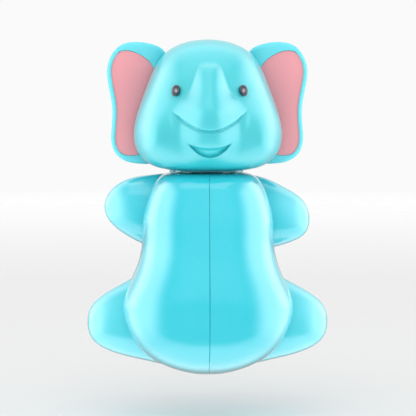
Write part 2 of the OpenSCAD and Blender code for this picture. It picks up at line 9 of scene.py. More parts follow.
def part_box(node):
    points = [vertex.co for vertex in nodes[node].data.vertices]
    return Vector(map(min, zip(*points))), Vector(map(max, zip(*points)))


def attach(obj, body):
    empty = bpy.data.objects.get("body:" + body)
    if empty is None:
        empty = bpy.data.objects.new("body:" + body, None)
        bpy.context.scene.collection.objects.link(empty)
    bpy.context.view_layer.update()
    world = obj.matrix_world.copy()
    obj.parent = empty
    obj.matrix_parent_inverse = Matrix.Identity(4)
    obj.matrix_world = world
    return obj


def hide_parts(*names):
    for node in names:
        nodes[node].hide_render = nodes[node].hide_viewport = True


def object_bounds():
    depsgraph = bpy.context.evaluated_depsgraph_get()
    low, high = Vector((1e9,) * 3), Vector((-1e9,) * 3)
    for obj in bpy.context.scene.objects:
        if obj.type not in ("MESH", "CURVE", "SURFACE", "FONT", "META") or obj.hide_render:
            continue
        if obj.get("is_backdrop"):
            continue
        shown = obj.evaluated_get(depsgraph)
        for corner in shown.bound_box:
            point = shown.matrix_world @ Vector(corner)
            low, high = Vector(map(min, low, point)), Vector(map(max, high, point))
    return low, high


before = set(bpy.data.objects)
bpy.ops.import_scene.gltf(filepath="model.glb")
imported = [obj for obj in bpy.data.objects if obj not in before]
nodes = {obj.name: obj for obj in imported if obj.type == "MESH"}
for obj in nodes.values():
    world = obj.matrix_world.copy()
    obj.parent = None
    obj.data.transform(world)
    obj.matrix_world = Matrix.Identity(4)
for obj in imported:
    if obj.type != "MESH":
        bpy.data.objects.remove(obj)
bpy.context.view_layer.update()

# Spine frame: the fixed back piece that carries the hinge pins, the head and the cup's socket.
# It is injection moulded in the light blue plastic of the whole cover, with a satin finish, and
# is held in the head by one screw through its tongue.
MM = 0.001
LEFT, RIGHT = -1, 1
SHELL_BLUE = (0.018, 0.490, 0.588, 1)
SHELL_PALE = (0.048, 0.540, 0.632, 1)
PLASTIC_IOR = 1.58
# Noise cells per metre of the pigment's flow, the orange peel, the rubbed spots and the dust
FLOW_SCALE, PEEL_SCALE, RUB_SCALE, DUST_SCALE = 90, 520, 210, 640
FLOW_DETAIL, PEEL_DETAIL, RUB_DETAIL = 3, 2, 6
NOISE_ROUGH = 0.55
DUST_R, DUST_EDGE, DUST_ROUGH = 0.05, 0.12, 0.18
# Noise values at which the colour's drift and the rubbed spots begin and are full
FLOW_LOW, FLOW_HIGH = 0.3, 0.7
RUB_LOW, RUB_HIGH = 0.35, 0.7


def shader_group(name, inputs, outputs):
    """Empty shader node group with float sockets, and its input and output nodes."""
    group = bpy.data.node_groups.new(name, "ShaderNodeTree")
    for label, value in inputs.items():
        made = group.interface.new_socket(label, in_out="INPUT", socket_type="NodeSocketFloat")
        made.default_value = value
    for label in outputs:
        group.interface.new_socket(label, in_out="OUTPUT", socket_type="NodeSocketFloat")
    return group, group.nodes.new("NodeGroupInput"), group.nodes.new("NodeGroupOutput")


def add(tree, kind, inputs=None, **settings):
    """New node with its settings, and its inputs given as values or as sockets to link."""
    made = tree.nodes.new(kind)
    for key, value in settings.items():
        setattr(made, key, value)
    for key, value in (inputs or {}).items():
        if isinstance(value, bpy.types.NodeSocket):
            tree.links.new(value, made.inputs[key])
        else:
            made.inputs[key].default_value = value
    return made


def maths(tree, operation, *values):
    """One step of arithmetic on values or sockets, as the socket of its result."""
    return add(tree, "ShaderNodeMath", dict(enumerate(values)), operation=operation).outputs[0]


def noise(tree, place, scale, detail):
    """Noise over a place, as one value from 0 to 1."""
    inputs = {"Vector": place, "Scale": scale, "Detail": detail, "Roughness": NOISE_ROUGH}
    return add(tree, "ShaderNodeTexNoise", inputs).outputs["Fac"]


def moulding_marks():
    """Group for moulded plastic: pigment flow, uneven gloss with rubbed spots, and orange peel."""
    sizes = {"Flow Scale": FLOW_SCALE, "Peel Scale": PEEL_SCALE, "Rough Low": 0.1, "Rough High": 0.2}
    group, given, result = shader_group("moulding_marks", sizes, ["Flow", "Roughness", "Height"])
    place = add(group, "ShaderNodeTexCoord").outputs["Object"]
    flow = noise(group, place, given.outputs["Flow Scale"], FLOW_DETAIL)
    peel = noise(group, place, given.outputs["Peel Scale"], PEEL_DETAIL)
    rubbed = noise(group, place, RUB_SCALE, RUB_DETAIL)
    specks = add(group, "ShaderNodeTexVoronoi", {
        "Vector": place, "Scale": DUST_SCALE, "Randomness": 1})
    dust = add(group, "ShaderNodeMapRange", {
        "Value": specks.outputs["Distance"], "From Min": DUST_R, "From Max": DUST_EDGE,
        "To Min": DUST_ROUGH, "To Max": 0})
    spread = add(group, "ShaderNodeMapRange", {
        "Value": rubbed, "From Min": RUB_LOW, "From Max": RUB_HIGH,
        "To Min": given.outputs["Rough Low"], "To Max": given.outputs["Rough High"]})
    rough = maths(group, "ADD", spread.outputs[0], dust.outputs[0])
    soft_flow = add(group, "ShaderNodeMapRange", {
        "Value": flow, "From Min": FLOW_LOW, "From Max": FLOW_HIGH})
    group.links.new(soft_flow.outputs[0], result.inputs["Flow"])
    group.links.new(rough, result.inputs["Roughness"])
    group.links.new(peel, result.inputs["Height"])
    return group


MOULDING = moulding_marks()


def plastic(name, deep, pale, rough=(0.1, 0.2), coat=0.6, gloss=0.06, peel=0.02, flow=0.25):
    """Moulded plastic whose colour drifts from deep to pale along the pigment's flow."""
    material = bpy.data.materials.new(name)
    material.use_nodes = True
    tree = material.node_tree
    shader = tree.nodes["Principled BSDF"]
    marks = add(tree, "ShaderNodeGroup", node_tree=MOULDING)
    marks.inputs["Rough Low"].default_value = rough[0]
    marks.inputs["Rough High"].default_value = rough[1]
    share = maths(tree, "MULTIPLY", marks.outputs["Flow"], flow)
    colour = add(tree, "ShaderNodeMix", {"Factor": share, 6: deep, 7: pale}, data_type="RGBA")
    bump = add(tree, "ShaderNodeBump", {
        "Height": marks.outputs["Height"], "Strength": peel, "Distance": MM})
    tree.links.new(colour.outputs[2], shader.inputs["Base Color"])
    tree.links.new(marks.outputs["Roughness"], shader.inputs["Roughness"])
    tree.links.new(bump.outputs["Normal"], shader.inputs["Normal"])
    shader.inputs["IOR"].default_value = PLASTIC_IOR
    shader.inputs["Coat Weight"].default_value = coat
    shader.inputs["Coat Roughness"].default_value = gloss
    return material, colour


def dress(node, material):
    """Gives a CAD node its finish."""
    node.data.materials.clear()
    node.data.materials.append(material)


frame_blue, _ = plastic(
    "frame_blue", SHELL_BLUE, SHELL_PALE, rough=(0.3, 0.45), coat=0.0, peel=0.08)
dress(nodes["spine_frame"], frame_blue)

# Hinge pins: two straightened lengths of bright steel wire with a pressed head below. They are
# pushed up through the foot and the barrels into the neck plate, and turned marks run round them.
PIN_D = 2.0
PIN_HEAD_D = 3.0
PIN_HEAD_H = 0.8
PIN_CHAMFER = 0.25
PIN_SIDES = 48
STEEL_DARK, STEEL_BRIGHT = (0.50, 0.51, 0.53, 1), (0.72, 0.73, 0.75, 1)
RING_SCALE = (60, 60, 4200)
RING_STRENGTH, RING_DEPTH = 0.15, 0.1
# Points of a turned piece that lie closer than this, in millimetres, are joined
WELD = 0.001


def lathe_tree():
    """Tree that turns the profile it is given about Z: a point's X is a radius, its Z a height."""
    tree = bpy.data.node_groups.new("lathe", "GeometryNodeTree")
    for label, kind in (("Profile", "Geometry"), ("Sides", "Int"), ("Finish", "Material")):
        tree.interface.new_socket(label, in_out="INPUT", socket_type="NodeSocket" + kind)
    tree.interface.new_socket("Turned", in_out="OUTPUT", socket_type="NodeSocketGeometry")
    given = tree.nodes.new("NodeGroupInput")
    result = tree.nodes.new("NodeGroupOutput")
    profile, sides = given.outputs["Profile"], given.outputs["Sides"]
    size = add(tree, "GeometryNodeAttributeDomainSize", {"Geometry": profile})
    points = size.outputs["Point Count"]
    columns = maths(tree, "ADD", sides, 1.0)
    grid = add(tree, "GeometryNodeMeshGrid", {"Vertices X": columns, "Vertices Y": points})
    index = add(tree, "GeometryNodeInputIndex").outputs[0]
    row = maths(tree, "MODULO", index, points)
    column = maths(tree, "FLOOR", maths(tree, "DIVIDE", index, points))
    turn = maths(tree, "MULTIPLY", maths(tree, "DIVIDE", column, sides), math.tau)
    place = add(tree, "GeometryNodeInputPosition").outputs[0]
    taken = add(tree, "GeometryNodeSampleIndex", {
        "Geometry": profile, "Index": row}, data_type="FLOAT_VECTOR")
    tree.links.new(place, taken.inputs["Value"])
    parts = add(tree, "ShaderNodeSeparateXYZ", {0: taken.outputs[0]})
    radius, height = parts.outputs["X"], parts.outputs["Z"]
    x = maths(tree, "MULTIPLY", radius, maths(tree, "COSINE", turn))
    y = maths(tree, "MULTIPLY", radius, maths(tree, "SINE", turn))
    spot = add(tree, "ShaderNodeCombineXYZ", {"X": x, "Y": y, "Z": height}).outputs[0]
    moved = add(tree, "GeometryNodeSetPosition", {
        "Geometry": grid.outputs["Mesh"], "Position": spot})
    closed = add(tree, "GeometryNodeMergeByDistance", {
        "Geometry": moved.outputs[0], "Distance": WELD})
    real = add(tree, "GeometryNodeRealizeInstances", {"Geometry": closed.outputs[0]})
    dressed = add(tree, "GeometryNodeSetMaterial", {"Geometry": real.outputs[0]})
    tree.links.new(given.outputs["Finish"], dressed.inputs["Material"])
    tree.links.new(dressed.outputs[0], result.inputs["Turned"])
    return tree


LATHE = lathe_tree()


def solid(name, verts, faces=(), edges=()):
    """Object with a mesh in millimetres."""
    mesh = bpy.data.meshes.new(name)
    mesh.from_pydata(np.asarray(verts, float).tolist(), list(edges), faces)
    made = bpy.data.objects.new(name, mesh)
    bpy.context.scene.collection.objects.link(made)
    return made


def settled(piece):
    """The piece, with its modifiers applied to its mesh."""
    bpy.context.view_layer.update()
    graph = bpy.context.evaluated_depsgraph_get()
    mesh = bpy.data.meshes.new_from_object(piece.evaluated_get(graph))
    piece.modifiers.clear()
    piece.data = mesh
    return piece


def set_input(modifier, label, value):
    """Sets a modifier's named input by the identifier of its socket."""
    for item in modifier.node_group.interface.items_tree:
        if item.name == label and item.in_out == "INPUT":
            modifier[item.identifier] = value


def lathe(name, profile, sides, material):
    """Turned piece from a profile of (radius, height) points, in millimetres about Z."""
    edges = [(i, i + 1) for i in range(len(profile) - 1)]
    piece = solid(name, [(r, 0, z) for r, z in profile], edges=edges)
    modifier = piece.modifiers.new("lathe", "NODES")
    modifier.node_group = LATHE
    set_input(modifier, "Sides", sides)
    set_input(modifier, "Finish", material)
    return settled(piece)


def face_outwards(mesh):
    """Turns the faces of a closed mesh outwards."""
    work = bmesh.new()
    work.from_mesh(mesh)
    bmesh.ops.recalc_face_normals(work, faces=work.faces)
    work.to_mesh(mesh)
    work.free()


def seat(piece, material, body, slot, *replaced, crease=38):
    """Takes a finished piece from millimetres to metres, and gives it its finish and its body."""
    piece.data.transform(Matrix.Scale(MM, 4))
    piece.data.materials.clear()
    piece.data.materials.append(material)
    piece.data.polygons.foreach_set("use_smooth", [True] * len(piece.data.polygons))
    piece.data.set_sharp_from_angle(angle=math.radians(crease))
    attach(piece, body)
    if replaced:
        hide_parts(*replaced)
    return piece


def steel(name, rough):
    """Bright steel with fine rings round its length, as drawing and turning leave them."""
    material = bpy.data.materials.new(name)
    material.use_nodes = True
    tree = material.node_tree
    shader = tree.nodes["Principled BSDF"]
    place = add(tree, "ShaderNodeTexCoord").outputs["Object"]
    rings = add(tree, "ShaderNodeMapping", {"Vector": place, "Scale": RING_SCALE}).outputs[0]
    lines = noise(tree, rings, 1.0, 4)
    shade = add(tree, "ShaderNodeMix", {
        "Factor": lines, 6: STEEL_DARK, 7: STEEL_BRIGHT}, data_type="RGBA")
    gloss = add(tree, "ShaderNodeMapRange", {
        "Value": lines, "To Min": rough, "To Max": rough + 0.2})
    bump = add(tree, "ShaderNodeBump", {
        "Height": lines, "Strength": RING_STRENGTH, "Distance": RING_DEPTH * MM})
    tree.links.new(shade.outputs[2], shader.inputs["Base Color"])
    tree.links.new(gloss.outputs[0], shader.inputs["Roughness"])
    tree.links.new(bump.outputs["Normal"], shader.inputs["Normal"])
    shader.inputs["Metallic"].default_value = 1.0
    return material


bright_steel = steel("bright_steel", rough=0.18)
for side, name in ((LEFT, "hinge_pin_left"), (RIGHT, "hinge_pin_right")):
    low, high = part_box(name)
    base, top = low.z / MM, high.z / MM
    head_r, pin_r = PIN_HEAD_D / 2, PIN_D / 2
    neck = base + PIN_HEAD_H
    pin = lathe(name + "_wire", [
        (0, base), (head_r - PIN_CHAMFER, base), (head_r, base + PIN_CHAMFER), (head_r, neck),
        (pin_r, neck), (pin_r, top - PIN_CHAMFER), (pin_r - PIN_CHAMFER, top), (0, top)],
        PIN_SIDES, bright_steel)
    middle = (low + high) / 2 / MM
    pin.data.transform(Matrix.Translation((middle.x, middle.y, 0)))
    face_outwards(pin.data)
    seat(pin, bright_steel, "frame", "steel", name)

# Door liners: the inner halves of the chamber, each with its hinge barrel and the two fingers
# that are pushed back to shut its door. They are moulded in the same plastic, with less gloss
# than the outside, and set in the door skins.
liner_blue, _ = plastic(
    "liner_blue", SHELL_BLUE, SHELL_PALE, rough=(0.22, 0.36), coat=0.1, peel=0.05)
for name in ("door_liner_left", "door_liner_right"):
    dress(nodes[name], liner_blue)

# Door skins: the two outer halves of the body, with an arm and a leg each, that swing on the
# pins. They are glossy mouldings with a thin wall, a closing web where they meet and a neck hole
# below. The limbs are painted paler towards their tips: painted light, standing for light shining through.
BODY_BASE = -33.68
BODY_H = 46.78
BELLY_R = 19.75
WAIST_R = 15.2
SHOULDER_R = 12.4
BELLY_REACH = 35.5
CHEST_REACH = 33.0
BACK_GAP = 8.6
BODY_MID = 21.0
WALL = 1.5
WEB = 1.4
SPLIT = 0.01
SPLIT_ROUND = 0.16
FIT = 0.3
FRONT_POWER, BACK_POWER = 2.5, 4.0
HINGE_X, HINGE_REACH, BARREL_R = 6.5, 10.8, 2.2
LINER_BASE, LINER_TOP = -25.8, 8.1
BARREL_GAP = 0.4
NECK_HOLE_R, NECK_HOLE_REACH, GUIDE_R = 4.6, 20.0, 5.9
CHAMBER_HALF, CHAMBER_FRONT, CHAMBER_BACK, CHAMBER_R = 8.2, 27.6, 11.6, 2
LINER_WALL = 1.5
# Cuts run this far past the faces that they open
PAST = 1
SKIN_RINGS, ROOM_RINGS = 150, 60
# Painted light: the shell's colour pales towards this blue, by up to this share, with the distance off its
# middle
THROUGH_LIGHT_BLUE = (0.12, 0.61, 0.69, 1)
THROUGH_LIGHT_SHARE = 0.8
INNER_LIGHT, INNER_RADIUS, INNER_DEPTH = 0.2, (0.5, 1.0, 1.0), 1.5
DOOR_TOP = BODY_BASE + BODY_H
BELLY_OUT = BELLY_REACH - BODY_MID
# Height share, half width, and the reach of the front and of the back from the wall
BODY_STATIONS = [
    (0, 0.06 * BELLY_R, BODY_MID + 1.2, BODY_MID - 1.2),
    (0.011, 0.22 * BELLY_R, BODY_MID + 4.2, BODY_MID - 4),
    (0.04, 0.45 * BELLY_R, BODY_MID + 0.56 * BELLY_OUT, BACK_GAP + 4.6),
    (0.093, 0.69 * BELLY_R, BODY_MID + 0.78 * BELLY_OUT, BACK_GAP + 2.2),
    (0.169, 0.872 * BELLY_R, BODY_MID + 0.92 * BELLY_OUT, BACK_GAP + 0.7),
    (0.262, 0.975 * BELLY_R, BELLY_REACH - 0.2, BACK_GAP + 0.1),
    (0.355, BELLY_R, BELLY_REACH, BACK_GAP),
    (0.457, WAIST_R + 0.62 * (BELLY_R - WAIST_R), BELLY_REACH - 0.5, BACK_GAP),
    (0.549, WAIST_R + 0.22 * (BELLY_R - WAIST_R), BELLY_REACH - 1.3, BACK_GAP),
    (0.66, WAIST_R, CHEST_REACH + 0.5, BACK_GAP),
    (0.78, 0.985 * WAIST_R, CHEST_REACH, BACK_GAP),
    (0.88, SHOULDER_R + 0.52 * (WAIST_R - SHOULDER_R), CHEST_REACH - 0.5, BACK_GAP),
    (0.951, SHOULDER_R, CHEST_REACH - 1.3, BACK_GAP),
    (0.985, 0.87 * SHOULDER_R, CHEST_REACH - 2.9, BACK_GAP),
    (1, 0.68 * SHOULDER_R, CHEST_REACH - 5.4, BACK_GAP),
]
# Limb outlines as (x, z), from the upper root round the tip to the lower root
RAISED_ARM = [(9, 12.9), (14, 12.4), (19.2, 11.2), (22.8, 8.4), (23.9, 5.6), (23.3, 2.6), (21.2, 0.1),
              (15.6, -3.4), (9.5, -6.4)]
LOWERED_ARM = [(8, 12.9), (13.7, 11.6), (18.6, 9.2), (22.4, 6.4), (23.9, 2.4), (22.9, -1.2), (20, -3.1),
               (15.2, -4.6), (9, -6.4)]
LEG = [(12, -7.4), (18.5, -11.9), (24.2, -15.2), (27.15, -18.2), (27.9, -21.3), (26.9, -25.4), (23, -28.2),
       (14.4, -30.6), (5, -33)]
ARM_REACH, LEG_REACH = 16.8, 19.5
# Thickness as a share of the height, at the root and at the tip
ARM_THICK, LEG_THICK = (0.7, 0.64), (0.61, 0.72)
LIMB_STEPS, LIMB_SIDES = 121, 72


def spline(stations, count, weights=1.0):
    """Rows spaced along the smoothest curve through the stations. weights scale their columns."""
    rows = np.array(stations, float)
    steps = np.linalg.norm(np.diff(rows * weights, axis=0), axis=1)
    t = np.concatenate([[0], np.cumsum(steps)])
    n = len(t)
    h = np.diff(t)
    system, right = np.eye(n), np.zeros_like(rows)
    for i in range(1, n - 1):
        system[i, i - 1:i + 2] = h[i - 1], 2 * (h[i - 1] + h[i]), h[i]
        right[i] = 6 * ((rows[i + 1] - rows[i]) / h[i] - (rows[i] - rows[i - 1]) / h[i - 1])
    bend = np.linalg.solve(system, right)
    at = np.linspace(0, t[-1], count)
    i = np.clip(np.searchsorted(t, at, side="right") - 1, 0, n - 2)
    u, v, w = (at - t[i])[:, None], (t[i + 1] - at)[:, None], h[i][:, None]
    return (bend[i] * v**3 + bend[i + 1] * u**3) / (6 * w) + (
        (rows[i] / w - bend[i] * w / 6) * v + (rows[i + 1] / w - bend[i + 1] * w / 6) * u)


def section(half, front, back, angles):
    """Points of one horizontal section about its middle: rounder in front and squarer behind."""
    sine, cosine = np.abs(np.sin(angles)), np.cos(angles)
    ahead = cosine > 0
    power = np.where(ahead, FRONT_POWER, BACK_POWER)
    depth = np.where(ahead, front, back)
    edge = ((sine / half) ** power + (np.abs(cosine) / depth) ** power) ** (-1 / power)
    return edge * np.sin(angles), edge * cosine


def form(stations, base, height, middle, widest, inset, count, angles):
    """Rings of a moulded form drawn in by inset. widest is its half width, front and back reach."""
    keep_w = 1 - inset / widest[0]
    keep_f = 1 - inset / (widest[1] - middle)
    keep_b = 1 - inset / (middle - widest[2])
    rings = []
    for share, half, front, back in spline(stations, count, (height, 1, 0.5, 0.5)):
        x, out = section(half * keep_w, (front - middle) * keep_f, (middle - back) * keep_b, angles)
        z = base + inset + share * (height - 2 * inset)
        rings.append(np.stack([x, -(middle + out), np.full_like(x, z)], 1))
    return np.array(rings)


def loft(name, rings):
    """Closed solid over rings of points that run counter-clockwise as seen from above."""
    count, n = rings.shape[:2]
    verts = np.vstack([rings.reshape(-1, 3), rings[0].mean(0), rings[-1].mean(0)])
    here = np.arange(n)
    ahead = (here + 1) % n
    faces = []
    for j in range(count - 1):
        faces += (np.stack([here, ahead, ahead + n, here + n], 1) + j * n).tolist()
    low, high = count * n, count * n + 1
    last = (count - 1) * n
    faces += [[low, int(b), int(a)] for a, b in zip(here, ahead)]
    faces += [[high, int(a) + last, int(b) + last] for a, b in zip(here, ahead)]
    return solid(name, verts, faces)


def box(low, high):
    """Block between two corners, in millimetres."""
    (x0, y0, z0), (x1, y1, z1) = low, high
    ring = [(x0, y0), (x1, y0), (x1, y1), (x0, y1)]
    return loft("block", np.array([[(x, y, z) for x, y in ring] for z in (z0, z1)], float))


def post(x, y, r, low, high, sides=64):
    """Upright round bar."""
    turn = np.linspace(0, math.tau, sides, endpoint=False)
    across, along = x + r * np.cos(turn), y + r * np.sin(turn)
    return loft("post", np.array([
        np.stack([across, along, np.full(sides, z)], 1) for z in (low, high)]))


def bar(x, z, r, near, far, sides=48):
    """Round bar out from the wall, from one reach to another."""
    made = post(0, 0, r, near, far, sides)
    made.data.transform(Matrix.Translation((x, 0, z)) @ Matrix.Rotation(math.pi / 2, 4, "X"))
    return made


def shape(target, operation, *tools):
    """Joins tools to the target, or cuts them out of it, and removes the tools."""
    for tool in tools:
        step = target.modifiers.new("shape", "BOOLEAN")
        step.operation = operation
        step.solver = "MANIFOLD"
        step.object = tool
    settled(target)
    for tool in tools:
        bpy.data.objects.remove(tool)
    return target


def flipped(rings, side):
    """Rings made for the right side, or their mirror image in the same winding."""
    if side == RIGHT:
        return rings
    return (rings * (-1, 1, 1))[:, ::-1]


def limb(outline, reach, thick, side):
    """Stub with a round tip inside an outline, whose thickness keeps a share of its height."""
    curve = spline(outline, LIMB_STEPS)
    half = len(curve) // 2
    rings = []
    turn = np.linspace(0, math.tau, LIMB_SIDES, endpoint=False)
    for k in range(half):
        upper, lower = curve[k], curve[-1 - k]
        centre, arm = (upper + lower) / 2, (upper - lower) / 2
        flat = np.linalg.norm(arm) * (thick[0] + (thick[1] - thick[0]) * k / half)
        x = centre[0] + arm[0] * np.sin(turn)
        z = centre[1] + arm[1] * np.sin(turn)
        rings.append(np.stack([x, -(reach + flat * np.cos(turn)), z], 1))
    made = loft("limb", flipped(np.array(rings), side))
    face_outwards(made.data)
    return made


def chamber(grow, low, high):
    """Prism of the chamber between the doors, with its front corners rounded."""
    half, front, back = CHAMBER_HALF + grow, CHAMBER_FRONT + grow, CHAMBER_BACK - grow
    r = CHAMBER_R + grow
    turn = np.radians(np.linspace(0, 90, 13))
    corner = np.stack([half - r + r * np.cos(turn), -(front - r + r * np.sin(turn))], 1)
    outline = np.vstack([[(half, -back)], corner, corner[::-1] * (-1, 1), [(-half, -back)]])
    return loft("chamber", np.array([[(x, y, z) for x, y in outline[::-1]] for z in (low, high)]))


# Angles round half the body, close together beside the split for its rounded edges
SPLIT_ANGLES = np.radians([0, 0.35, 0.7, 1.0, 1.3, 1.6, 2.0, 2.5, 3.2])
SIDE_ANGLES = np.radians(np.linspace(4.5, 175.5, 96))
HALF_ANGLES = np.concatenate([SPLIT_ANGLES, SIDE_ANGLES, math.pi - SPLIT_ANGLES[::-1]])
BODY_WIDEST = (BELLY_R, BELLY_REACH, BACK_GAP)


def half_body(inset, stop, rounding, count, side):
    """Half of the body form beyond a distance off the middle, with its long edges rounded."""
    rings = form(BODY_STATIONS, BODY_BASE, BODY_H, BODY_MID, BODY_WIDEST, inset, count, HALF_ANGLES)
    x = np.maximum(rings[..., 0], stop)
    if rounding:
        short = np.clip(stop + rounding - x, 0, rounding)
        drop = rounding - np.sqrt(np.maximum(rounding**2 - short**2, 0))
        out = -rings[..., 1] - BODY_MID
        rings[..., 1] = -(BODY_MID + np.sign(out) * np.maximum(np.abs(out) - drop, 0))
    rings[..., 0] = x
    return loft("half", flipped(rings, side))


def door_skin(name, side, arm):
    """One door skin: half of the body with its limbs, hollowed for the liner and the hinge."""
    skin = half_body(0, SPLIT, SPLIT_ROUND, SKIN_RINGS, side)
    skin.name = name
    shape(skin, "UNION", limb(arm, ARM_REACH, ARM_THICK, side), limb(LEG, LEG_REACH, LEG_THICK, side))
    room = half_body(WALL, SPLIT + WEB, 0, ROOM_RINGS, side)
    below = BODY_BASE - PAST
    shape(room, "DIFFERENCE", post(0, -NECK_HOLE_REACH, GUIDE_R, below, LINER_BASE - FIT))
    slot_half = HINGE_X + BARREL_R + FIT
    slot_front = BACK_GAP + 2 * BARREL_R + FIT
    barrel_room = BARREL_R * math.sqrt(2) + BARREL_GAP
    return shape(
        skin, "DIFFERENCE", room, chamber(LINER_WALL, LINER_BASE - FIT, LINER_TOP + FIT),
        post(0, -NECK_HOLE_REACH, NECK_HOLE_R, below, LINER_BASE),
        box((-slot_half, -slot_front, below), (slot_half, 0, DOOR_TOP + PAST)),
        post(side * HINGE_X, -HINGE_REACH, barrel_room, below, LINER_BASE))


def shell_plastic(name, near, far, rough=(0.14, 0.2), coat=1.0, gloss=0.14, deep=SHELL_BLUE):
    """The cover's shell plastic, with light inside it, painted paler from near to far off the middle as
    painted light shining through.
    """
    material, colour = plastic(
        name, deep, SHELL_PALE, rough=rough, coat=coat, gloss=gloss, peel=0.012, flow=0.3)
    tree = material.node_tree
    place = add(tree, "ShaderNodeTexCoord").outputs["Object"]
    parts = add(tree, "ShaderNodeSeparateXYZ", {0: place})
    off = maths(tree, "ABSOLUTE", parts.outputs["X"])
    # Painted light: the colour is mixed paler with the distance off the middle, as if light shone through
    # the plastic
    lit_through_mask = add(tree, "ShaderNodeMapRange", {
        "Value": off, "From Min": near * MM, "From Max": far * MM, "To Max": THROUGH_LIGHT_SHARE},
        interpolation_type="SMOOTHSTEP")
    paler = add(tree, "ShaderNodeMix", {
        "Factor": lit_through_mask.outputs[0], 6: colour.outputs[2], 7: THROUGH_LIGHT_BLUE}, data_type="RGBA")
    shader = tree.nodes["Principled BSDF"]
    tree.links.new(paler.outputs[2], shader.inputs["Base Color"])
    shader.inputs["Subsurface Weight"].default_value = INNER_LIGHT
    shader.inputs["Subsurface Radius"].default_value = INNER_RADIUS
    shader.inputs["Subsurface Scale"].default_value = INNER_DEPTH * MM
    return material


body_blue = shell_plastic("body_blue", near=13, far=27)
for name, side, arm, door in (
        ("door_skin_left", LEFT, RAISED_ARM, "door_left"),
        ("door_skin_right", RIGHT, LOWERED_ARM, "door_right")):
    skin = door_skin(name + "_shell", side, arm)
    seat(skin, body_blue, door, "shell_blue", name)

# Suction cup: one soft moulding of clear vinyl, with a dished lip that meets the wall, a neck and
# a knob that slide into the frame's keyhole, and a tab to pull it off by.
CUP_R = 14.0
CUP_LIP_W = 0.8
CUP_RIM_T = 0.7
CUP_DEPTH = 3.9
CUP_NECK_R = 2.2
KNOB_R = 3.7
KNOB_REACH, KNOB_T = 6.2, 1.5
TAB_W, TAB_OUT = 5.0, 2.6
CUP_HOLLOW = 2.6
CUP_EDGE = 0.18
TAB_LIFT, TAB_ROUND, TAB_DRAWN_IN = 0.1, 0.12, 0.95
CUP_SIDES, UNDER_STEPS, DOME_STEPS, DOME_START = 128, 24, 28, 0.02
VINYL_DEEP, VINYL_PALE = (0.80, 0.90, 0.92, 1), (0.90, 0.95, 0.96, 1)
VINYL_CLEAR, VINYL_IOR = 0.85, 1.45

inner_r = CUP_R - CUP_LIP_W
under = [(inner_r * t, CUP_HOLLOW * (1 - t * t)) for t in np.linspace(0, 1, UNDER_STEPS)]
dome = [(CUP_R + (CUP_NECK_R - CUP_R) * t, CUP_RIM_T + (CUP_DEPTH - CUP_RIM_T) * math.sin(math.pi / 2 * t))
        for t in np.linspace(DOME_START, 1, DOME_STEPS)]
knob_end = KNOB_REACH + KNOB_T
cup_profile = under + [(CUP_R - CUP_EDGE, 0), (CUP_R, CUP_EDGE), (CUP_R, CUP_RIM_T - CUP_EDGE)] + dome + [
    (CUP_NECK_R, KNOB_REACH), (KNOB_R - CUP_EDGE, KNOB_REACH), (KNOB_R, KNOB_REACH + CUP_EDGE),
    (KNOB_R, knob_end - 2 * CUP_EDGE), (KNOB_R - 2 * CUP_EDGE, knob_end), (0, knob_end)]
clear_vinyl, _ = plastic(
    "clear_vinyl", VINYL_DEEP, VINYL_PALE, rough=(0.12, 0.3), coat=0.0, peel=0.1, flow=1.0)
vinyl = clear_vinyl.node_tree.nodes["Principled BSDF"]
vinyl.inputs["Transmission Weight"].default_value = VINYL_CLEAR
vinyl.inputs["IOR"].default_value = VINYL_IOR

cup = lathe("suction_cup_vinyl", cup_profile, CUP_SIDES, clear_vinyl)
cup.data.transform(Matrix.Rotation(math.pi / 2, 4, "X"))
face_outwards(cup.data)
tab_r = TAB_W / 2
tab_tip = -CUP_R - TAB_OUT + tab_r
turn = np.linspace(math.pi, math.tau, 25)
tab_top = -CUP_R + CUP_LIP_W
tab_outline = [(tab_r, tab_top), (-tab_r, tab_top)] + [
    (tab_r * math.cos(a), tab_tip + tab_r * math.sin(a)) for a in turn]
tab_layers = ((CUP_RIM_T, TAB_DRAWN_IN), (CUP_RIM_T - TAB_ROUND, 1), (TAB_LIFT + TAB_ROUND, 1),
              (TAB_LIFT, TAB_DRAWN_IN))
tab = loft("tab", np.array([[(x * k, -y, tab_top + (z - tab_top) * k) for x, z in tab_outline]
                            for y, k in tab_layers]))
face_outwards(tab.data)
shape(cup, "UNION", tab)
seat(cup, clear_vinyl, "frame", "cup_clear", "suction_cup")

# Ears: two leaning plates with a rounded rim, moulded in the shell's blue with a satin finish and
# clamped by their roots between the head's shells. Each holds a lining, a thin pink plate pressed
# into a shallow recess.
HEAD_BASE = 13.8
HEAD_H = 30.0
CHEEK_R = 17.15
EAR_W, EAR_H, EAR_T = 14.3, 28.4, 3.4
EAR_ROOT_X = 9.05
EAR_REACH = 14.9
EAR_LEAN = 0.12
EAR_RISE = 1.2
EAR_BASE = HEAD_BASE + EAR_RISE
# The rim's rounding: how far it draws the outline in, that share of it in front, and how deep it
# runs from the back and from the front face
RIM_INSET, FRONT_SHARE = 1.25, 0.8
BACK_ROUND, FRONT_ROUND = 1.2, 0.9
ROUND_STEPS = np.radians([0, 15, 30, 45, 60, 75, 90])
OUTLINE_STEPS = 12
LINING_T = 0.7
LINING_SUNK = 0.15
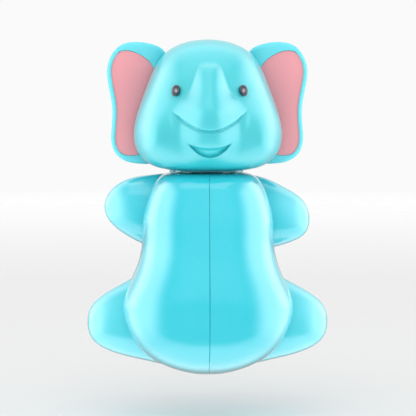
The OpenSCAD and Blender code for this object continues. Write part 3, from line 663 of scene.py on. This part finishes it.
# The recess round the lining: its gap at the opening, below the opening's chamfer and at the floor
OPENING_GAP, WALL_GAP, FLOOR_GAP = 0.16, 0.04, 0.02
OPENING_CHAMFER, UNDER_GAP = 0.1, 0.1
LINING_ROUND, LINING_EASE = 0.15, 0.04
LINING_DEEP, LINING_PALE = (0.68, 0.262, 0.295, 1), (0.72, 0.295, 0.328, 1)
EAR_OUTLINE = [
    (0.02, 0.91), (0.25, 0.98), (0.56, 1), (0.81, 0.965), (0.965, 0.85), (1, 0.73), (0.945, 0.58),
    (0.905, 0.455), (0.915, 0.32), (0.935, 0.195), (0.865, 0.085), (0.685, 0.018), (0.43, 0),
    (0.17, 0.012), (0.06, 0.18), (0.01, 0.45), (0, 0.7)]
LINING_OUTLINE = [
    (0.25, 0.81), (0.46, 0.895), (0.68, 0.93), (0.825, 0.905), (0.91, 0.835), (0.935, 0.74),
    (0.89, 0.61), (0.84, 0.475), (0.855, 0.32), (0.88, 0.2), (0.83, 0.12), (0.71, 0.072),
    (0.46, 0.075), (0.34, 0.16), (0.36, 0.31), (0.31, 0.49), (0.22, 0.67)]


def closed_outline(shares, steps):
    """Smooth closed outline through points given as shares of the ear's width and height."""
    row = np.array(shares) * (EAR_W, EAR_H)
    t = np.arange(steps) / steps
    before, after, later = np.roll(row, 1, 0), np.roll(row, -1, 0), np.roll(row, -2, 0)
    made = []
    for a, b, c, d in zip(before, row, after, later):
        for u in t:
            bend = 2 * a - 5 * b + 4 * c - d + u * (3 * (b - c) + d - a)
            made.append(b + 0.5 * u * (c - a + u * bend))
    made = np.array(made)
    for _ in range(3 * steps):
        made = 0.5 * made + 0.25 * (np.roll(made, 1, 0) + np.roll(made, -1, 0))
    return made


def drawn_in(outline, inset):
    """The outline moved inwards along its own normals, or outwards for a negative inset."""
    along = np.roll(outline, -1, 0) - np.roll(outline, 1, 0)
    normal = np.stack([along[:, 1], -along[:, 0]], 1) / np.linalg.norm(along, axis=1)[:, None]
    return outline + inset * normal


def ear_ring(outline, reach):
    """Outline set in its ear's leaning plane at a reach from the plane's middle."""
    x, z = outline[:, 0], outline[:, 1]
    return np.stack([EAR_ROOT_X + x, -(EAR_REACH + reach + EAR_LEAN * x), EAR_BASE + z], 1)


def plate(name, layers, side):
    """Closed plate over (outline, inset, reach) layers, from the back to the front."""
    rings = np.array([
        ear_ring(drawn_in(outline, inset), reach) for outline, inset, reach in layers])
    made = loft(name, flipped(rings, side))
    face_outwards(made.data)
    return made


RIM = closed_outline(EAR_OUTLINE, OUTLINE_STEPS)
LINING = closed_outline(LINING_OUTLINE, OUTLINE_STEPS)
EAR_BACK, EAR_FRONT = -EAR_T / 2, EAR_T / 2
ROUNDS = [(RIM_INSET * (1 - math.sin(a)), 1 - math.cos(a)) for a in ROUND_STEPS]


def rim_layers(beside=0.0, beyond=0.0):
    """Layers of an ear's rim, grown by a gap beside its outline and a gap beyond its faces."""
    back = [(RIM, inset - beside, (EAR_BACK - beyond) + BACK_ROUND * rise)
            for inset, rise in ROUNDS]
    front = [(RIM, inset * FRONT_SHARE - beside, (EAR_FRONT + beyond) - FRONT_ROUND * rise)
             for inset, rise in reversed(ROUNDS)]
    return back + front


lining_top = EAR_FRONT - LINING_SUNK
ear_layers = rim_layers() + [
    (LINING, -OPENING_GAP, EAR_FRONT), (LINING, -WALL_GAP, EAR_FRONT - OPENING_CHAMFER),
    (LINING, -FLOOR_GAP, EAR_FRONT - LINING_T - LINING_SUNK - UNDER_GAP)]
lining_layers = [
    (LINING, 0, lining_top - LINING_T), (LINING, 0, lining_top - LINING_ROUND),
    (LINING, LINING_EASE, lining_top - LINING_EASE), (LINING, LINING_ROUND, lining_top)]

ear_blue = shell_plastic("ear_blue", near=8, far=14, rough=(0.4, 0.5), coat=0.0)
lining_pink, _ = plastic(
    "lining_pink", LINING_DEEP, LINING_PALE, rough=(0.3, 0.34), coat=0.3, gloss=0.2, peel=0.02)
for side, end in ((LEFT, "left"), (RIGHT, "right")):
    ear = plate("ear_" + end + "_plate", ear_layers, side)
    seat(ear, ear_blue, "frame", "shell_blue", "ear_" + end)
    lining = plate("ear_lining_" + end + "_plate", lining_layers, side)
    seat(lining, lining_pink, "frame", "lining_pink", "ear_lining_" + end)

# Head: a front shell with the trunk, the smile and the lower jaw, and a rear shell with three
# screw wells. Both are mouldings with a soft gloss, and they close over the frame's neck plate and
# the ears' roots. A low pad below the front shell nearly closes the gap over the doors.
# The head's deep colour is the shell blue with less blue in it: a painted shade that offsets the stronger
# light from above on the head
HEAD_SHADED_BLUE = (0.020, 0.472, 0.525, 1)
BROW_R = 14.3
FACE_REACH = 34.0
CROWN_MID = 20.0
SEAM_REACH = 14.5
LIP_Z = 23.1
LIP_RISE = 3.9
FLARE_R = 7.8
LIP_STEP, LIP_SOFT, LIP_FADE = 0.9, 0.55, 3.0
# The lip ends softly from this far past its half width inwards
LIP_PAST, LIP_END = 1.1, 2.8
LIP_GROOVE, GROOVE_BELOW, GROOVE_W = 0.24, 0.25, 0.3
MOUTH_HALF = 5.15
MOUTH_CORNER_Z, MOUTH_TOP_Z, MOUTH_LOW_Z = 20.4, 19.2, 16.8
MOUTH_DEPTH = 1.3
# Softness of the mouth's lower and upper edge, how far the upper one reaches up, and how much
# shallower the mouth is at its top
MOUTH_LOW_SOFT, MOUTH_TOP_SOFT, MOUTH_TOP_PAST, MOUTH_SHALLOW = 0.5, 1.0, 0.35, 0.6
MOUTH_LEAST = 0.05
PAD_HALF, PAD_DEEP, PAD_MID, PAD_T, PAD_ROOT = 7.5, 8.4, 20.6, 0.45, 0.5
PAD_POWER, PAD_SIDES = 6, 72
EYE_X, EYE_Z = 7.6, 32.1
DIMPLE_W, DIMPLE_H, DIMPLE_DEPTH = 1.5, 1.8, 0.1
CHEEK_X, CHEEK_Z, CHEEK_OUT = 13.0, 21.3, 1.25
CHEEK_W, CHEEK_H = 3.0, 5.6
FILLET, FOOT_FADE = 0.14, 0.8
FACE_FADE = 6
HEAD_RINGS, TRUNK_STEPS = 230, 400
PLATE_HALF, PLATE_FRONT, PLATE_TOP = 9.0, 15.3, 16.3
POST_R, SCREW_R, SCREW_PLAY = 2.1, 0.9, 0.15
EAR_BESIDE, EAR_BEYOND = 0.12, 0.1
FAR = 60
SCREWS = [(-5.5, 36.0), (5.5, 36.0), (0.0, 21.04)]
POST_ENDS = [27.5, 27.5, 31.5]
WELL_R, WELL_OUTER_R = 2.2, 3.7
WELL_FLOOR, WELL_FRONT, SCREW_TIP = 10.1, 11.6, 19.1
CROWN_OUT = FACE_REACH - CROWN_MID
HEAD_STATIONS = [
    (0, 0.5 * CHEEK_R, FACE_REACH - 6.6, BACK_GAP + 0.8),
    (0.012, 0.62 * CHEEK_R, FACE_REACH - 4.9, BACK_GAP + 0.4),
    (0.04, 0.765 * CHEEK_R, FACE_REACH - 3.2, BACK_GAP),
    (0.095, 0.89 * CHEEK_R, FACE_REACH - 1.7, BACK_GAP),
    (0.175, 0.974 * CHEEK_R, FACE_REACH - 0.7, BACK_GAP),
    (0.277, CHEEK_R, FACE_REACH - 0.2, BACK_GAP),
    (0.44, BROW_R + 0.67 * (CHEEK_R - BROW_R), FACE_REACH, BACK_GAP),
    (0.62, BROW_R, FACE_REACH - 0.6, BACK_GAP),
    (0.783, 0.857 * BROW_R, CROWN_MID + 0.85 * CROWN_OUT, BACK_GAP + 0.7),
    (0.893, 0.697 * BROW_R, CROWN_MID + 0.68 * CROWN_OUT, BACK_GAP + 2.4),
    (0.953, 0.5 * BROW_R, CROWN_MID + 0.5 * CROWN_OUT, BACK_GAP + 4.6),
    (0.986, 0.29 * BROW_R, CROWN_MID + 0.29 * CROWN_OUT, BACK_GAP + 7.4),
    (1, 0.07 * BROW_R, CROWN_MID + 1, CROWN_MID - 1),
]
# Height share of the head, half width of the trunk or the chin at its foot, how far it stands out
# from the face there, and how crisp its foot is
TRUNK_ROWS = [
    (0.02, 5.0, 0, 0), (0.06, 5.7, 0.45, 0), (0.11, 6.5, 1.2, 0), (0.165, 7.3, 2.0, 0),
    (0.223, 8.0, 2.6, 0), (0.28, 8.6, 3.05, 0), (0.33, 9.0, 3.4, 0.05), (0.38, 9.2, 3.7, 0.1),
    (0.42, 9.2, 3.9, 0.05), (0.457, 8.8, 3.85, 0.05), (0.494, 7.9, 3.55, 0.15), (0.54, 6.4, 3.05, 0.4),
    (0.58, 5.2, 2.7, 0.6), (0.617, 4.35, 2.4, 0.8), (0.65, 3.95, 2.15, 0.85), (0.693, 3.55, 1.85, 0.9),
    (0.735, 3.2, 1.55, 0.9), (0.765, 2.95, 1.3, 0.9), (0.785, 2.75, 1.0, 0.9), (0.802, 2.4, 0.55, 0.9),
    (0.818, 2.2, 0.12, 0.9), (0.84, 2.0, 0, 0.9)]


def eased(x):
    """Smooth step from 0 to 1."""
    t = np.clip(x, 0, 1)
    return t * t * t * (t * (6 * t - 15) + 10)


def trunk_stand(x, z):
    """How far the trunk and the chin stand out from the plain face."""
    rows = spline(TRUNK_ROWS, TRUNK_STEPS, (HEAD_H, 1, 1, 1)).T
    share = (z - HEAD_BASE) / HEAD_H
    foot, stand, crisp = [np.interp(share, rows[0], rows[k]) for k in (1, 2, 3)]
    across = np.abs(x) / foot
    bell = 0.5 + 0.5 * np.cos(math.pi * np.clip(across, 0, 1))
    arch = 1 - across**2
    arch = 0.5 * (arch + np.sqrt(arch**2 + FILLET**2)) * (1 - eased((across - 1) / FOOT_FADE))
    return np.maximum(stand, 0) * (bell + crisp * (arch - bell))


def lip_depth(x, z):
    """How far the face steps back under the lip, with a fine groove along the lip's edge."""
    under = LIP_Z + LIP_RISE * (x / FLARE_R) ** 2 - z
    edge = eased((FLARE_R + LIP_PAST - np.abs(x)) / LIP_END)
    step = eased(under / LIP_SOFT + 0.5) * np.exp(-np.maximum(under, 0) / LIP_FADE)
    groove = np.exp(-((under - GROOVE_BELOW) / GROOVE_W) ** 2)
    return edge * (LIP_STEP * step + LIP_GROOVE * groove)


def mouth_depth(x, z):
    """How deep the open mouth is: deepest along its lower edge and shallower towards its top."""
    bow = (x / MOUTH_HALF) ** 2
    low = MOUTH_LOW_Z + (MOUTH_CORNER_Z - MOUTH_LOW_Z) * bow
    top = MOUTH_TOP_Z + (MOUTH_CORNER_Z - MOUTH_TOP_Z) * bow
    open_share = np.clip((z - low) / np.maximum(top - low, MOUTH_LEAST), 0, 1)
    gape = eased((z - low) / MOUTH_LOW_SOFT) * eased((top - z) / MOUTH_TOP_SOFT + MOUTH_TOP_PAST)
    return MOUTH_DEPTH * gape * (1 - MOUTH_SHALLOW * open_share)


def soft_pair(x, z, place_x, place_z, width, height):
    """1 in the middle of two soft ovals, one on each side of the face, and 0 far from them."""
    return np.exp(-(((np.abs(x) - place_x) / width) ** 2 + ((z - place_z) / height) ** 2))


def face_relief(x, z):
    """How far the trunk, lip, mouth, eye dimples and cheeks move the face from its plain form."""
    dimples = soft_pair(x, z, EYE_X, EYE_Z, DIMPLE_W, DIMPLE_H)
    cheeks = soft_pair(x, z, CHEEK_X, CHEEK_Z, CHEEK_W, CHEEK_H)
    relief = trunk_stand(x, z) - lip_depth(x, z) - mouth_depth(x, z)
    return relief - DIMPLE_DEPTH * dimples + CHEEK_OUT * cheeks


# Angles round the head, closest together in the middle of the face
around = np.linspace(-1, 1, 289)[:-1]
EVEN_SHARE, CLOSE_SHARE = 0.42, 0.58
HEAD_ANGLES = math.pi * (EVEN_SHARE * around + CLOSE_SHARE * around**3)
HEAD_WIDEST = (CHEEK_R, FACE_REACH, BACK_GAP)
EVEN_ANGLES = np.linspace(-math.pi, math.pi, 96, endpoint=False)


def head_form(name):
    """The whole head as a closed solid, with its face."""
    rings = form(
        HEAD_STATIONS, HEAD_BASE, HEAD_H, CROWN_MID, HEAD_WIDEST, 0, HEAD_RINGS, HEAD_ANGLES)
    ahead = eased((-rings[..., 1] - CROWN_MID) / FACE_FADE)
    rings[..., 1] -= ahead * face_relief(rings[..., 0], rings[..., 2])
    return loft(name, rings)


def head_room():
    """The room inside the head."""
    rings = form(
        HEAD_STATIONS, HEAD_BASE, HEAD_H, CROWN_MID, HEAD_WIDEST, WALL, ROOM_RINGS, EVEN_ANGLES)
    return loft("room", rings)


def neck_pad(middle):
    """Low pad under the front shell's floor that nearly closes the gap over the doors."""
    turn = np.linspace(0, math.tau, PAD_SIDES, endpoint=False)
    x = PAD_HALF * np.sign(np.sin(turn)) * np.abs(np.sin(turn)) ** (2 / PAD_POWER)
    y = PAD_DEEP / 2 * np.sign(np.cos(turn)) * np.abs(np.cos(turn)) ** (2 / PAD_POWER)
    heights = (HEAD_BASE - PAD_T, HEAD_BASE + PAD_ROOT)
    rings = [np.stack([x, -(middle + y), np.full(PAD_SIDES, z)], 1)[::-1] for z in heights]
    pad = loft("pad", np.array(rings))
    face_outwards(pad.data)
    return pad


def shared_cuts():
    """What both shells leave free: the frame's neck plate and the roots of the ears."""
    plate_room = box((-PLATE_HALF, -PLATE_FRONT, HEAD_BASE - PAST), (PLATE_HALF, 0, PLATE_TOP))
    slot = rim_layers(EAR_BESIDE, EAR_BEYOND)
    return [plate_room] + [plate("slot", slot, side) for side in (LEFT, RIGHT)]


def shell(name, near, far):
    """The hollow head between two reaches from the wall."""
    head = shape(head_form(name), "DIFFERENCE", head_room())
    return shape(head, "INTERSECT", box((-FAR, -far, -FAR), (FAR, -near, FAR)))


def at_screws(r, near, far):
    """Round bars on the screws' lines, from one reach to another."""
    return [bar(x, z, r, near, far) for x, z in SCREWS]


head_front = shell("head_front_shell", SEAM_REACH, FAR)
shape(head_front, "UNION", neck_pad(PAD_MID),
      *[bar(x, z, POST_R, SEAM_REACH, end) for (x, z), end in zip(SCREWS, POST_ENDS)])
shape(head_front, "DIFFERENCE", *at_screws(SCREW_R, 0, SCREW_TIP), *shared_cuts())
head_rear = shell("head_rear_shell", 0, SEAM_REACH)
shape(head_rear, "UNION", *at_screws(WELL_OUTER_R, BACK_GAP + WALL / 2, WELL_FRONT))
shape(head_rear, "DIFFERENCE", *at_screws(WELL_R, 0, WELL_FLOOR),
      *at_screws(SCREW_R + SCREW_PLAY, 0, WELL_FRONT + PAST), *shared_cuts())
head_blue = shell_plastic("head_blue", near=16, far=40, rough=(0.3, 0.4), gloss=0.3, deep=HEAD_SHADED_BLUE)
seat(head_front, head_blue, "frame", "shell_blue", "head_front")
seat(head_rear, head_blue, "frame", "shell_blue", "head_rear")

# Eyes: two small ovals of dark grey plastic, each with a painted highlight, a pale spot in its middle,
# pressed into dimples in the front shell, with their tops leaning towards each other.
EYE_W, EYE_H, EYE_T = 2.0, 2.6, 1.6
EYE_TILT = 12
EYE_REACH = 33.05
EYE_SIDES, EYE_STEPS = 48, 33
EYE_DEEP, EYE_PALE = (0.014, 0.018, 0.030, 1), (0.03, 0.035, 0.05, 1)
# The painted highlight in each eye's middle: its width and height, the shares of them where it is full and
# where it is gone, and its grey
HIGHLIGHT_W, HIGHLIGHT_H = 0.36, 0.5
HIGHLIGHT_INNER, HIGHLIGHT_OUTER = 0.6, 1.3
HIGHLIGHT_GREY = (0.27, 0.26, 0.32, 1)


def eye_plastic():
    """The eyes' dark plastic, with a painted highlight, a soft pale spot, at the middle of each eye."""
    material, colour = plastic(
        "eye_grey", EYE_DEEP, EYE_PALE, rough=(0.3, 0.4), coat=0.2, gloss=0.2, peel=0.01)
    tree = material.node_tree
    place = add(tree, "ShaderNodeTexCoord").outputs["Object"]
    parts = add(tree, "ShaderNodeSeparateXYZ", {0: place})
    off = maths(tree, "ABSOLUTE", parts.outputs["X"])
    folded = add(tree, "ShaderNodeCombineXYZ", {"X": off, "Z": parts.outputs["Z"]}).outputs[0]
    centred = add(tree, "ShaderNodeMapping", {
        "Vector": folded, "Location": (-EYE_X / HIGHLIGHT_W, 0, -EYE_Z / HIGHLIGHT_H),
        "Scale": (1 / HIGHLIGHT_W / MM, 0, 1 / HIGHLIGHT_H / MM)}).outputs[0]
    away = add(tree, "ShaderNodeVectorMath", {0: centred}, operation="LENGTH").outputs["Value"]
    # Painted highlight: a pale spot at the middle of each eye
    spot = add(tree, "ShaderNodeMapRange", {
        "Value": away, "From Min": HIGHLIGHT_INNER, "From Max": HIGHLIGHT_OUTER, "To Min": 1, "To Max": 0},
        interpolation_type="SMOOTHSTEP")
    shade = add(tree, "ShaderNodeMix", {
        "Factor": spot.outputs[0], 6: colour.outputs[2], 7: HIGHLIGHT_GREY}, data_type="RGBA")
    tree.links.new(shade.outputs[2], tree.nodes["Principled BSDF"].inputs["Base Color"])
    return material


eye_grey = eye_plastic()
down = np.linspace(math.pi, 0, EYE_STEPS)[1:-1]
turn = np.linspace(0, math.tau, EYE_SIDES, endpoint=False)
for side, end in ((LEFT, "left"), (RIGHT, "right")):
    rings = np.array([np.stack([
        EYE_W / 2 * math.sin(a) * np.sin(turn), -EYE_T / 2 * math.sin(a) * np.cos(turn),
        np.full(EYE_SIDES, EYE_H / 2 * math.cos(a))], 1) for a in down])
    eye = loft("eye_" + end + "_bead", rings)
    eye.data.transform(Matrix.Translation((side * EYE_X, -EYE_REACH, EYE_Z))
                       @ Matrix.Rotation(math.radians(-side * EYE_TILT), 4, "Y"))
    seat(eye, eye_grey, "frame", "eye_grey", "eye_" + end)

# Head screws: three cross-head screws with a thread, driven from behind through the rear shell
# into posts of the front shell. The lowest also holds the frame's tongue.
SCREW_HEAD_R, SCREW_HEAD_H = 1.9, 1.3
SCREW_HEAD_SIDES, SHANK_SIDES = 40, 24
# Middle of the screw's head above its seat, and the cross's length, width, depth and middle, as
# shares of that head's radius and height
SCREW_HEAD_MIDDLE = 0.4
CROSS_LENGTH, CROSS_W, CROSS_DEPTH, CROSS_MIDDLE = 1.1, 0.26, 1.2, 0.6
# The core and the thread's ridge as shares of the screw's radius, and the thread's start and
# height as shares of its length
CORE, RIDGE = 0.82, 0.16
THREAD_START, THREAD_H = 0.08, 0.88
THREAD_TURNS = 11.0


def screw_tree():
    """Tree that sets a threaded cross-head screw at each point it is given, pointing to -Y."""
    tree = bpy.data.node_groups.new("screw_set", "GeometryNodeTree")
    tree.interface.new_socket("Places", in_out="INPUT", socket_type="NodeSocketGeometry")
    for label in ("Head Radius", "Head Height", "Shank Radius", "Length"):
        tree.interface.new_socket(label, in_out="INPUT", socket_type="NodeSocketFloat")
    tree.interface.new_socket("Finish", in_out="INPUT", socket_type="NodeSocketMaterial")
    tree.interface.new_socket("Screws", in_out="OUTPUT", socket_type="NodeSocketGeometry")
    given = tree.nodes.new("NodeGroupInput")
    result = tree.nodes.new("NodeGroupOutput")
    head_r, head_h = given.outputs["Head Radius"], given.outputs["Head Height"]
    shank_r, length = given.outputs["Shank Radius"], given.outputs["Length"]

    def times(value, factor):
        return maths(tree, "MULTIPLY", value, factor)

    def shifted(part, height, turn=(0, 0, 0)):
        place = add(tree, "ShaderNodeCombineXYZ", {"Z": height}).outputs[0]
        inputs = {"Geometry": part, "Translation": place, "Rotation": turn}
        return add(tree, "GeometryNodeTransform", inputs).outputs[0]

    head = add(tree, "GeometryNodeMeshCylinder", {
        "Vertices": SCREW_HEAD_SIDES, "Radius": head_r, "Depth": head_h})
    raised = shifted(head.outputs["Mesh"], times(head_h, -SCREW_HEAD_MIDDLE))
    cross = []
    for turn in (0, math.pi / 2):
        arm = add(tree, "ShaderNodeCombineXYZ", {
            "X": times(head_r, CROSS_LENGTH), "Y": times(head_r, CROSS_W),
            "Z": times(head_h, CROSS_DEPTH)}).outputs[0]
        cube = add(tree, "GeometryNodeMeshCube", {"Size": arm})
        cross.append(shifted(cube.outputs["Mesh"], times(head_h, -CROSS_MIDDLE), (0, 0, turn)))
    cut = add(tree, "GeometryNodeMeshBoolean", {"Mesh 1": raised}, operation="DIFFERENCE")
    for part in cross:
        tree.links.new(part, cut.inputs["Mesh 2"])
    core_r = times(shank_r, CORE)
    shank = add(tree, "GeometryNodeMeshCylinder", {
        "Vertices": SHANK_SIDES, "Radius": core_r, "Depth": length})
    low = times(length, 0.5)
    helix = add(tree, "GeometryNodeCurveSpiral", {
        "Resolution": 20, "Rotations": THREAD_TURNS, "Start Radius": core_r,
        "End Radius": core_r, "Height": times(length, THREAD_H)})
    ridge = add(tree, "GeometryNodeCurvePrimitiveCircle", {
        "Resolution": 4, "Radius": times(shank_r, RIDGE)})
    thread = add(tree, "GeometryNodeCurveToMesh", {
        "Curve": helix.outputs[0], "Profile Curve": ridge.outputs[0], "Fill Caps": True})
    screw = add(tree, "GeometryNodeJoinGeometry")
    for part in (cut.outputs["Mesh"], shifted(shank.outputs["Mesh"], low),
                 shifted(thread.outputs[0], times(length, THREAD_START))):
        tree.links.new(part, screw.inputs[0])
    placed = add(tree, "GeometryNodeInstanceOnPoints", {
        "Points": given.outputs["Places"], "Instance": screw.outputs[0],
        "Rotation": (math.pi / 2, 0, 0)})
    real = add(tree, "GeometryNodeRealizeInstances", {"Geometry": placed.outputs[0]})
    dressed = add(tree, "GeometryNodeSetMaterial", {"Geometry": real.outputs[0]})
    tree.links.new(given.outputs["Finish"], dressed.inputs["Material"])
    tree.links.new(dressed.outputs[0], result.inputs["Screws"])
    return tree


screws = solid("head_screws_set", [(x, -WELL_FLOOR, z) for x, z in SCREWS])
setting = screws.modifiers.new("screws", "NODES")
setting.node_group = screw_tree()
screw_steel = steel("screw_steel", rough=0.25)
for label, value in (("Head Radius", SCREW_HEAD_R), ("Head Height", SCREW_HEAD_H),
                     ("Shank Radius", SCREW_R), ("Length", SCREW_TIP - WELL_FLOOR),
                     ("Finish", screw_steel)):
    set_input(setting, label, value)
settled(screws)
seat(screws, screw_steel, "frame", "steel", "head_screws")

# Studio: a plain pale floor that fades into a white surround, and one large soft light high in
# front. The surround is dim behind the camera and bright at the sides, which the gloss shows as
# the deeper blue of the chest and the belly between two pale bands.
FLOOR_Z = -44.0
FLOOR_SIZE = 1600.0
FLOOR_SHADE = 0.765
FADE_NEAR, FADE_FAR = 0.3, 1.0
CAMERA_AZIMUTH, CAMERA_ELEVATION = -2.0, 3.5
LENS = 180.0
LOOK_AT = (0.0, -22.0, 5.0)
VIEW_HEIGHT = 96.0
KEY_AZIMUTH, KEY_ELEVATION, KEY_AWAY, KEY_SIZE, KEY_POWER = -12.0, 62.0, 700.0, 700.0, 1.2
# Strengths of the surround as the gloss shows it, as it lights the pieces, and as it is seen
SKY, SKY_DIM, SKY_GLOW, SKY_SIDES = 1.3, 0.25, 0.35, 1.95
SKY_TOP, SKY_UNDER, BACK_DIM = 0.8, 0.8, 0.6
SOFT, SOFT_FRONT, SOFT_UNDER = 0.78, 0.85, 1.2
BACKDROP = 0.955
# Four limits of each zone of the surround, in degrees or, for the last two, as shares of the way
# towards the camera. A zone is full between the inner two and gone at the outer two
DIM_ACROSS, DIM_UP = (-2, -1, 30, 56), (-50, -38, 70, 110)
GLOW_ACROSS, GLOW_UP = (-2, -1, 15, 45), (0, 9, 75, 110)
OVERHEAD_UP = (65, 110, 181, 182)
SIDES_ACROSS, SIDES_UP = (31, 60, 91, 92), (-60, -15, 45, 80)
UNDER_UP = (-92, -91, -60, -30)
SIDES_AHEAD = (-0.9, -0.2, 2, 3)
BEHIND_AHEAD = (-3, -2, -0.85, -0.35)

FLOOR_CORNERS = ((-1, -1), (1, -1), (1, 1), (-1, 1))
floor = solid("floor", [(x * FLOOR_SIZE, y * FLOOR_SIZE, FLOOR_Z) for x, y in FLOOR_CORNERS],
              [(0, 1, 2, 3)])
floor.data.transform(Matrix.Scale(MM, 4))
floor_white = bpy.data.materials.new("floor_white")
floor_white.use_nodes = True
floor_tree = floor_white.node_tree
floor_shader = floor_tree.nodes["Principled BSDF"]
floor_shader.inputs["Base Color"].default_value = (FLOOR_SHADE, FLOOR_SHADE, FLOOR_SHADE, 1)
floor_shader.inputs["Roughness"].default_value = 1.0
floor_shader.inputs["Specular IOR Level"].default_value = 0.0
floor_place = add(floor_tree, "ShaderNodeTexCoord").outputs["Object"]
away = add(floor_tree, "ShaderNodeVectorMath", {0: floor_place}, operation="LENGTH").outputs["Value"]
fade = add(floor_tree, "ShaderNodeMapRange", {
    "Value": away, "From Min": FADE_NEAR, "From Max": FADE_FAR})
under_side = add(floor_tree, "ShaderNodeNewGeometry").outputs["Backfacing"]
gone = maths(floor_tree, "MAXIMUM", fade.outputs[0], under_side)
clear = add(floor_tree, "ShaderNodeBsdfTransparent")
mixed = add(floor_tree, "ShaderNodeMixShader", {
    0: gone, 1: floor_shader.outputs[0], 2: clear.outputs[0]})
floor_tree.links.new(mixed.outputs[0], floor_tree.nodes["Material Output"].inputs["Surface"])
floor.data.materials.append(floor_white)
floor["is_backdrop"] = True
floor.visible_glossy = False
floor.visible_diffuse = False


def aim(thing, azimuth, elevation, away, target):
    """Sets a camera or light round a target, looking at it."""
    a, e = math.radians(azimuth), math.radians(elevation)
    back = np.array([math.sin(a) * math.cos(e), -math.cos(a) * math.cos(e), math.sin(e)])
    thing.location = (np.array(target) + back * away) * MM
    thing.rotation_mode = "QUATERNION"
    thing.rotation_quaternion = Vector((-back).tolist()).to_track_quat("-Z", "Y")


key_data = bpy.data.lights.new("key_light", "AREA")
key_data.size = KEY_SIZE * MM
key_data.energy = KEY_POWER
key_light = bpy.data.objects.new("key_light", key_data)
bpy.context.scene.collection.objects.link(key_light)
aim(key_light, KEY_AZIMUTH, KEY_ELEVATION, KEY_AWAY, LOOK_AT)

world = bpy.data.worlds.new("studio")
bpy.context.scene.world = world
world.use_nodes = True
sky = world.node_tree
background = sky.nodes["Background"]
outwards = add(sky, "ShaderNodeTexCoord").outputs["Generated"]
direction = add(sky, "ShaderNodeSeparateXYZ", {0: outwards})


def sky_math(operation, *values):
    """One step of arithmetic in the studio's light."""
    return maths(sky, operation, *values)


def between(value, limits):
    """1 between the inner two of four limits, and softly down to 0 at the outer two."""
    made = []
    for low, high, start, end in ((*limits[:2], 0, 1), (*limits[2:], 1, 0)):
        made.append(add(sky, "ShaderNodeMapRange", {
            "Value": value, "From Min": low, "From Max": high, "To Min": start, "To Max": end},
            interpolation_type="SMOOTHSTEP").outputs[0])
    return sky_math("MULTIPLY", *made)


towards = sky_math("MULTIPLY", direction.outputs["Y"], -1)
sideways = sky_math("DEGREES", sky_math("ARCSINE", sky_math("ABSOLUTE", direction.outputs["X"])))
pitch = sky_math("DEGREES", sky_math("ARCTAN2", direction.outputs["Z"], towards))
elevation = sky_math("DEGREES", sky_math("ARCSINE", direction.outputs["Z"]))
dim_front = sky_math("MULTIPLY", between(sideways, DIM_ACROSS), between(pitch, DIM_UP))
glow = sky_math("MULTIPLY", between(sideways, GLOW_ACROSS), between(pitch, GLOW_UP))
overhead = between(pitch, OVERHEAD_UP)
soft_sides = sky_math("MULTIPLY", between(sideways, SIDES_ACROSS), between(elevation, SIDES_UP))
soft_sides = sky_math("MULTIPLY", soft_sides, between(towards, SIDES_AHEAD))
underneath = between(elevation, UNDER_UP)
sky_level = SKY
for zone, strength in ((dim_front, SKY_DIM - SKY), (soft_sides, SKY_SIDES),
                       (underneath, SKY_UNDER), (glow, SKY_GLOW), (overhead, SKY_TOP)):
    sky_level = sky_math("ADD", sky_level, sky_math("MULTIPLY", zone, strength))
behind = sky_math("MULTIPLY", between(towards, BEHIND_AHEAD), BACK_DIM)
sky_level = sky_math("MULTIPLY", sky_level, sky_math("SUBTRACT", 1, behind))
facing = sky_math("POWER", sky_math("MAXIMUM", towards, 0), 2)
soft_level = sky_math("ADD", SOFT, sky_math("MULTIPLY", facing, SOFT_FRONT))
from_below = sky_math("MAXIMUM", sky_math("MULTIPLY", direction.outputs["Z"], -1), 0)
soft_level = sky_math("ADD", soft_level, sky_math("MULTIPLY", from_below, SOFT_UNDER))
path = add(sky, "ShaderNodeLightPath")
shading = add(sky, "ShaderNodeMix", {
    "Factor": path.outputs["Is Diffuse Ray"], 2: sky_level, 3: soft_level})
level = add(sky, "ShaderNodeMix", {
    "Factor": path.outputs["Is Camera Ray"], 2: shading.outputs[0], 3: BACKDROP})
background.inputs["Color"].default_value = (1, 1, 1, 1)
sky.links.new(level.outputs[0], background.inputs["Strength"])

camera_data = bpy.data.cameras.new("camera")
camera_data.lens = LENS
camera = bpy.data.objects.new("camera", camera_data)
bpy.context.scene.collection.objects.link(camera)
camera_away = VIEW_HEIGHT / 2 / (camera_data.sensor_width / 2 / LENS)
aim(camera, CAMERA_AZIMUTH, CAMERA_ELEVATION, camera_away, LOOK_AT)
camera_data.clip_start, camera_data.clip_end = 0.01, 10
bpy.context.scene.camera = camera
bpy.context.scene.view_settings.view_transform = "Standard"

low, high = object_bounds()
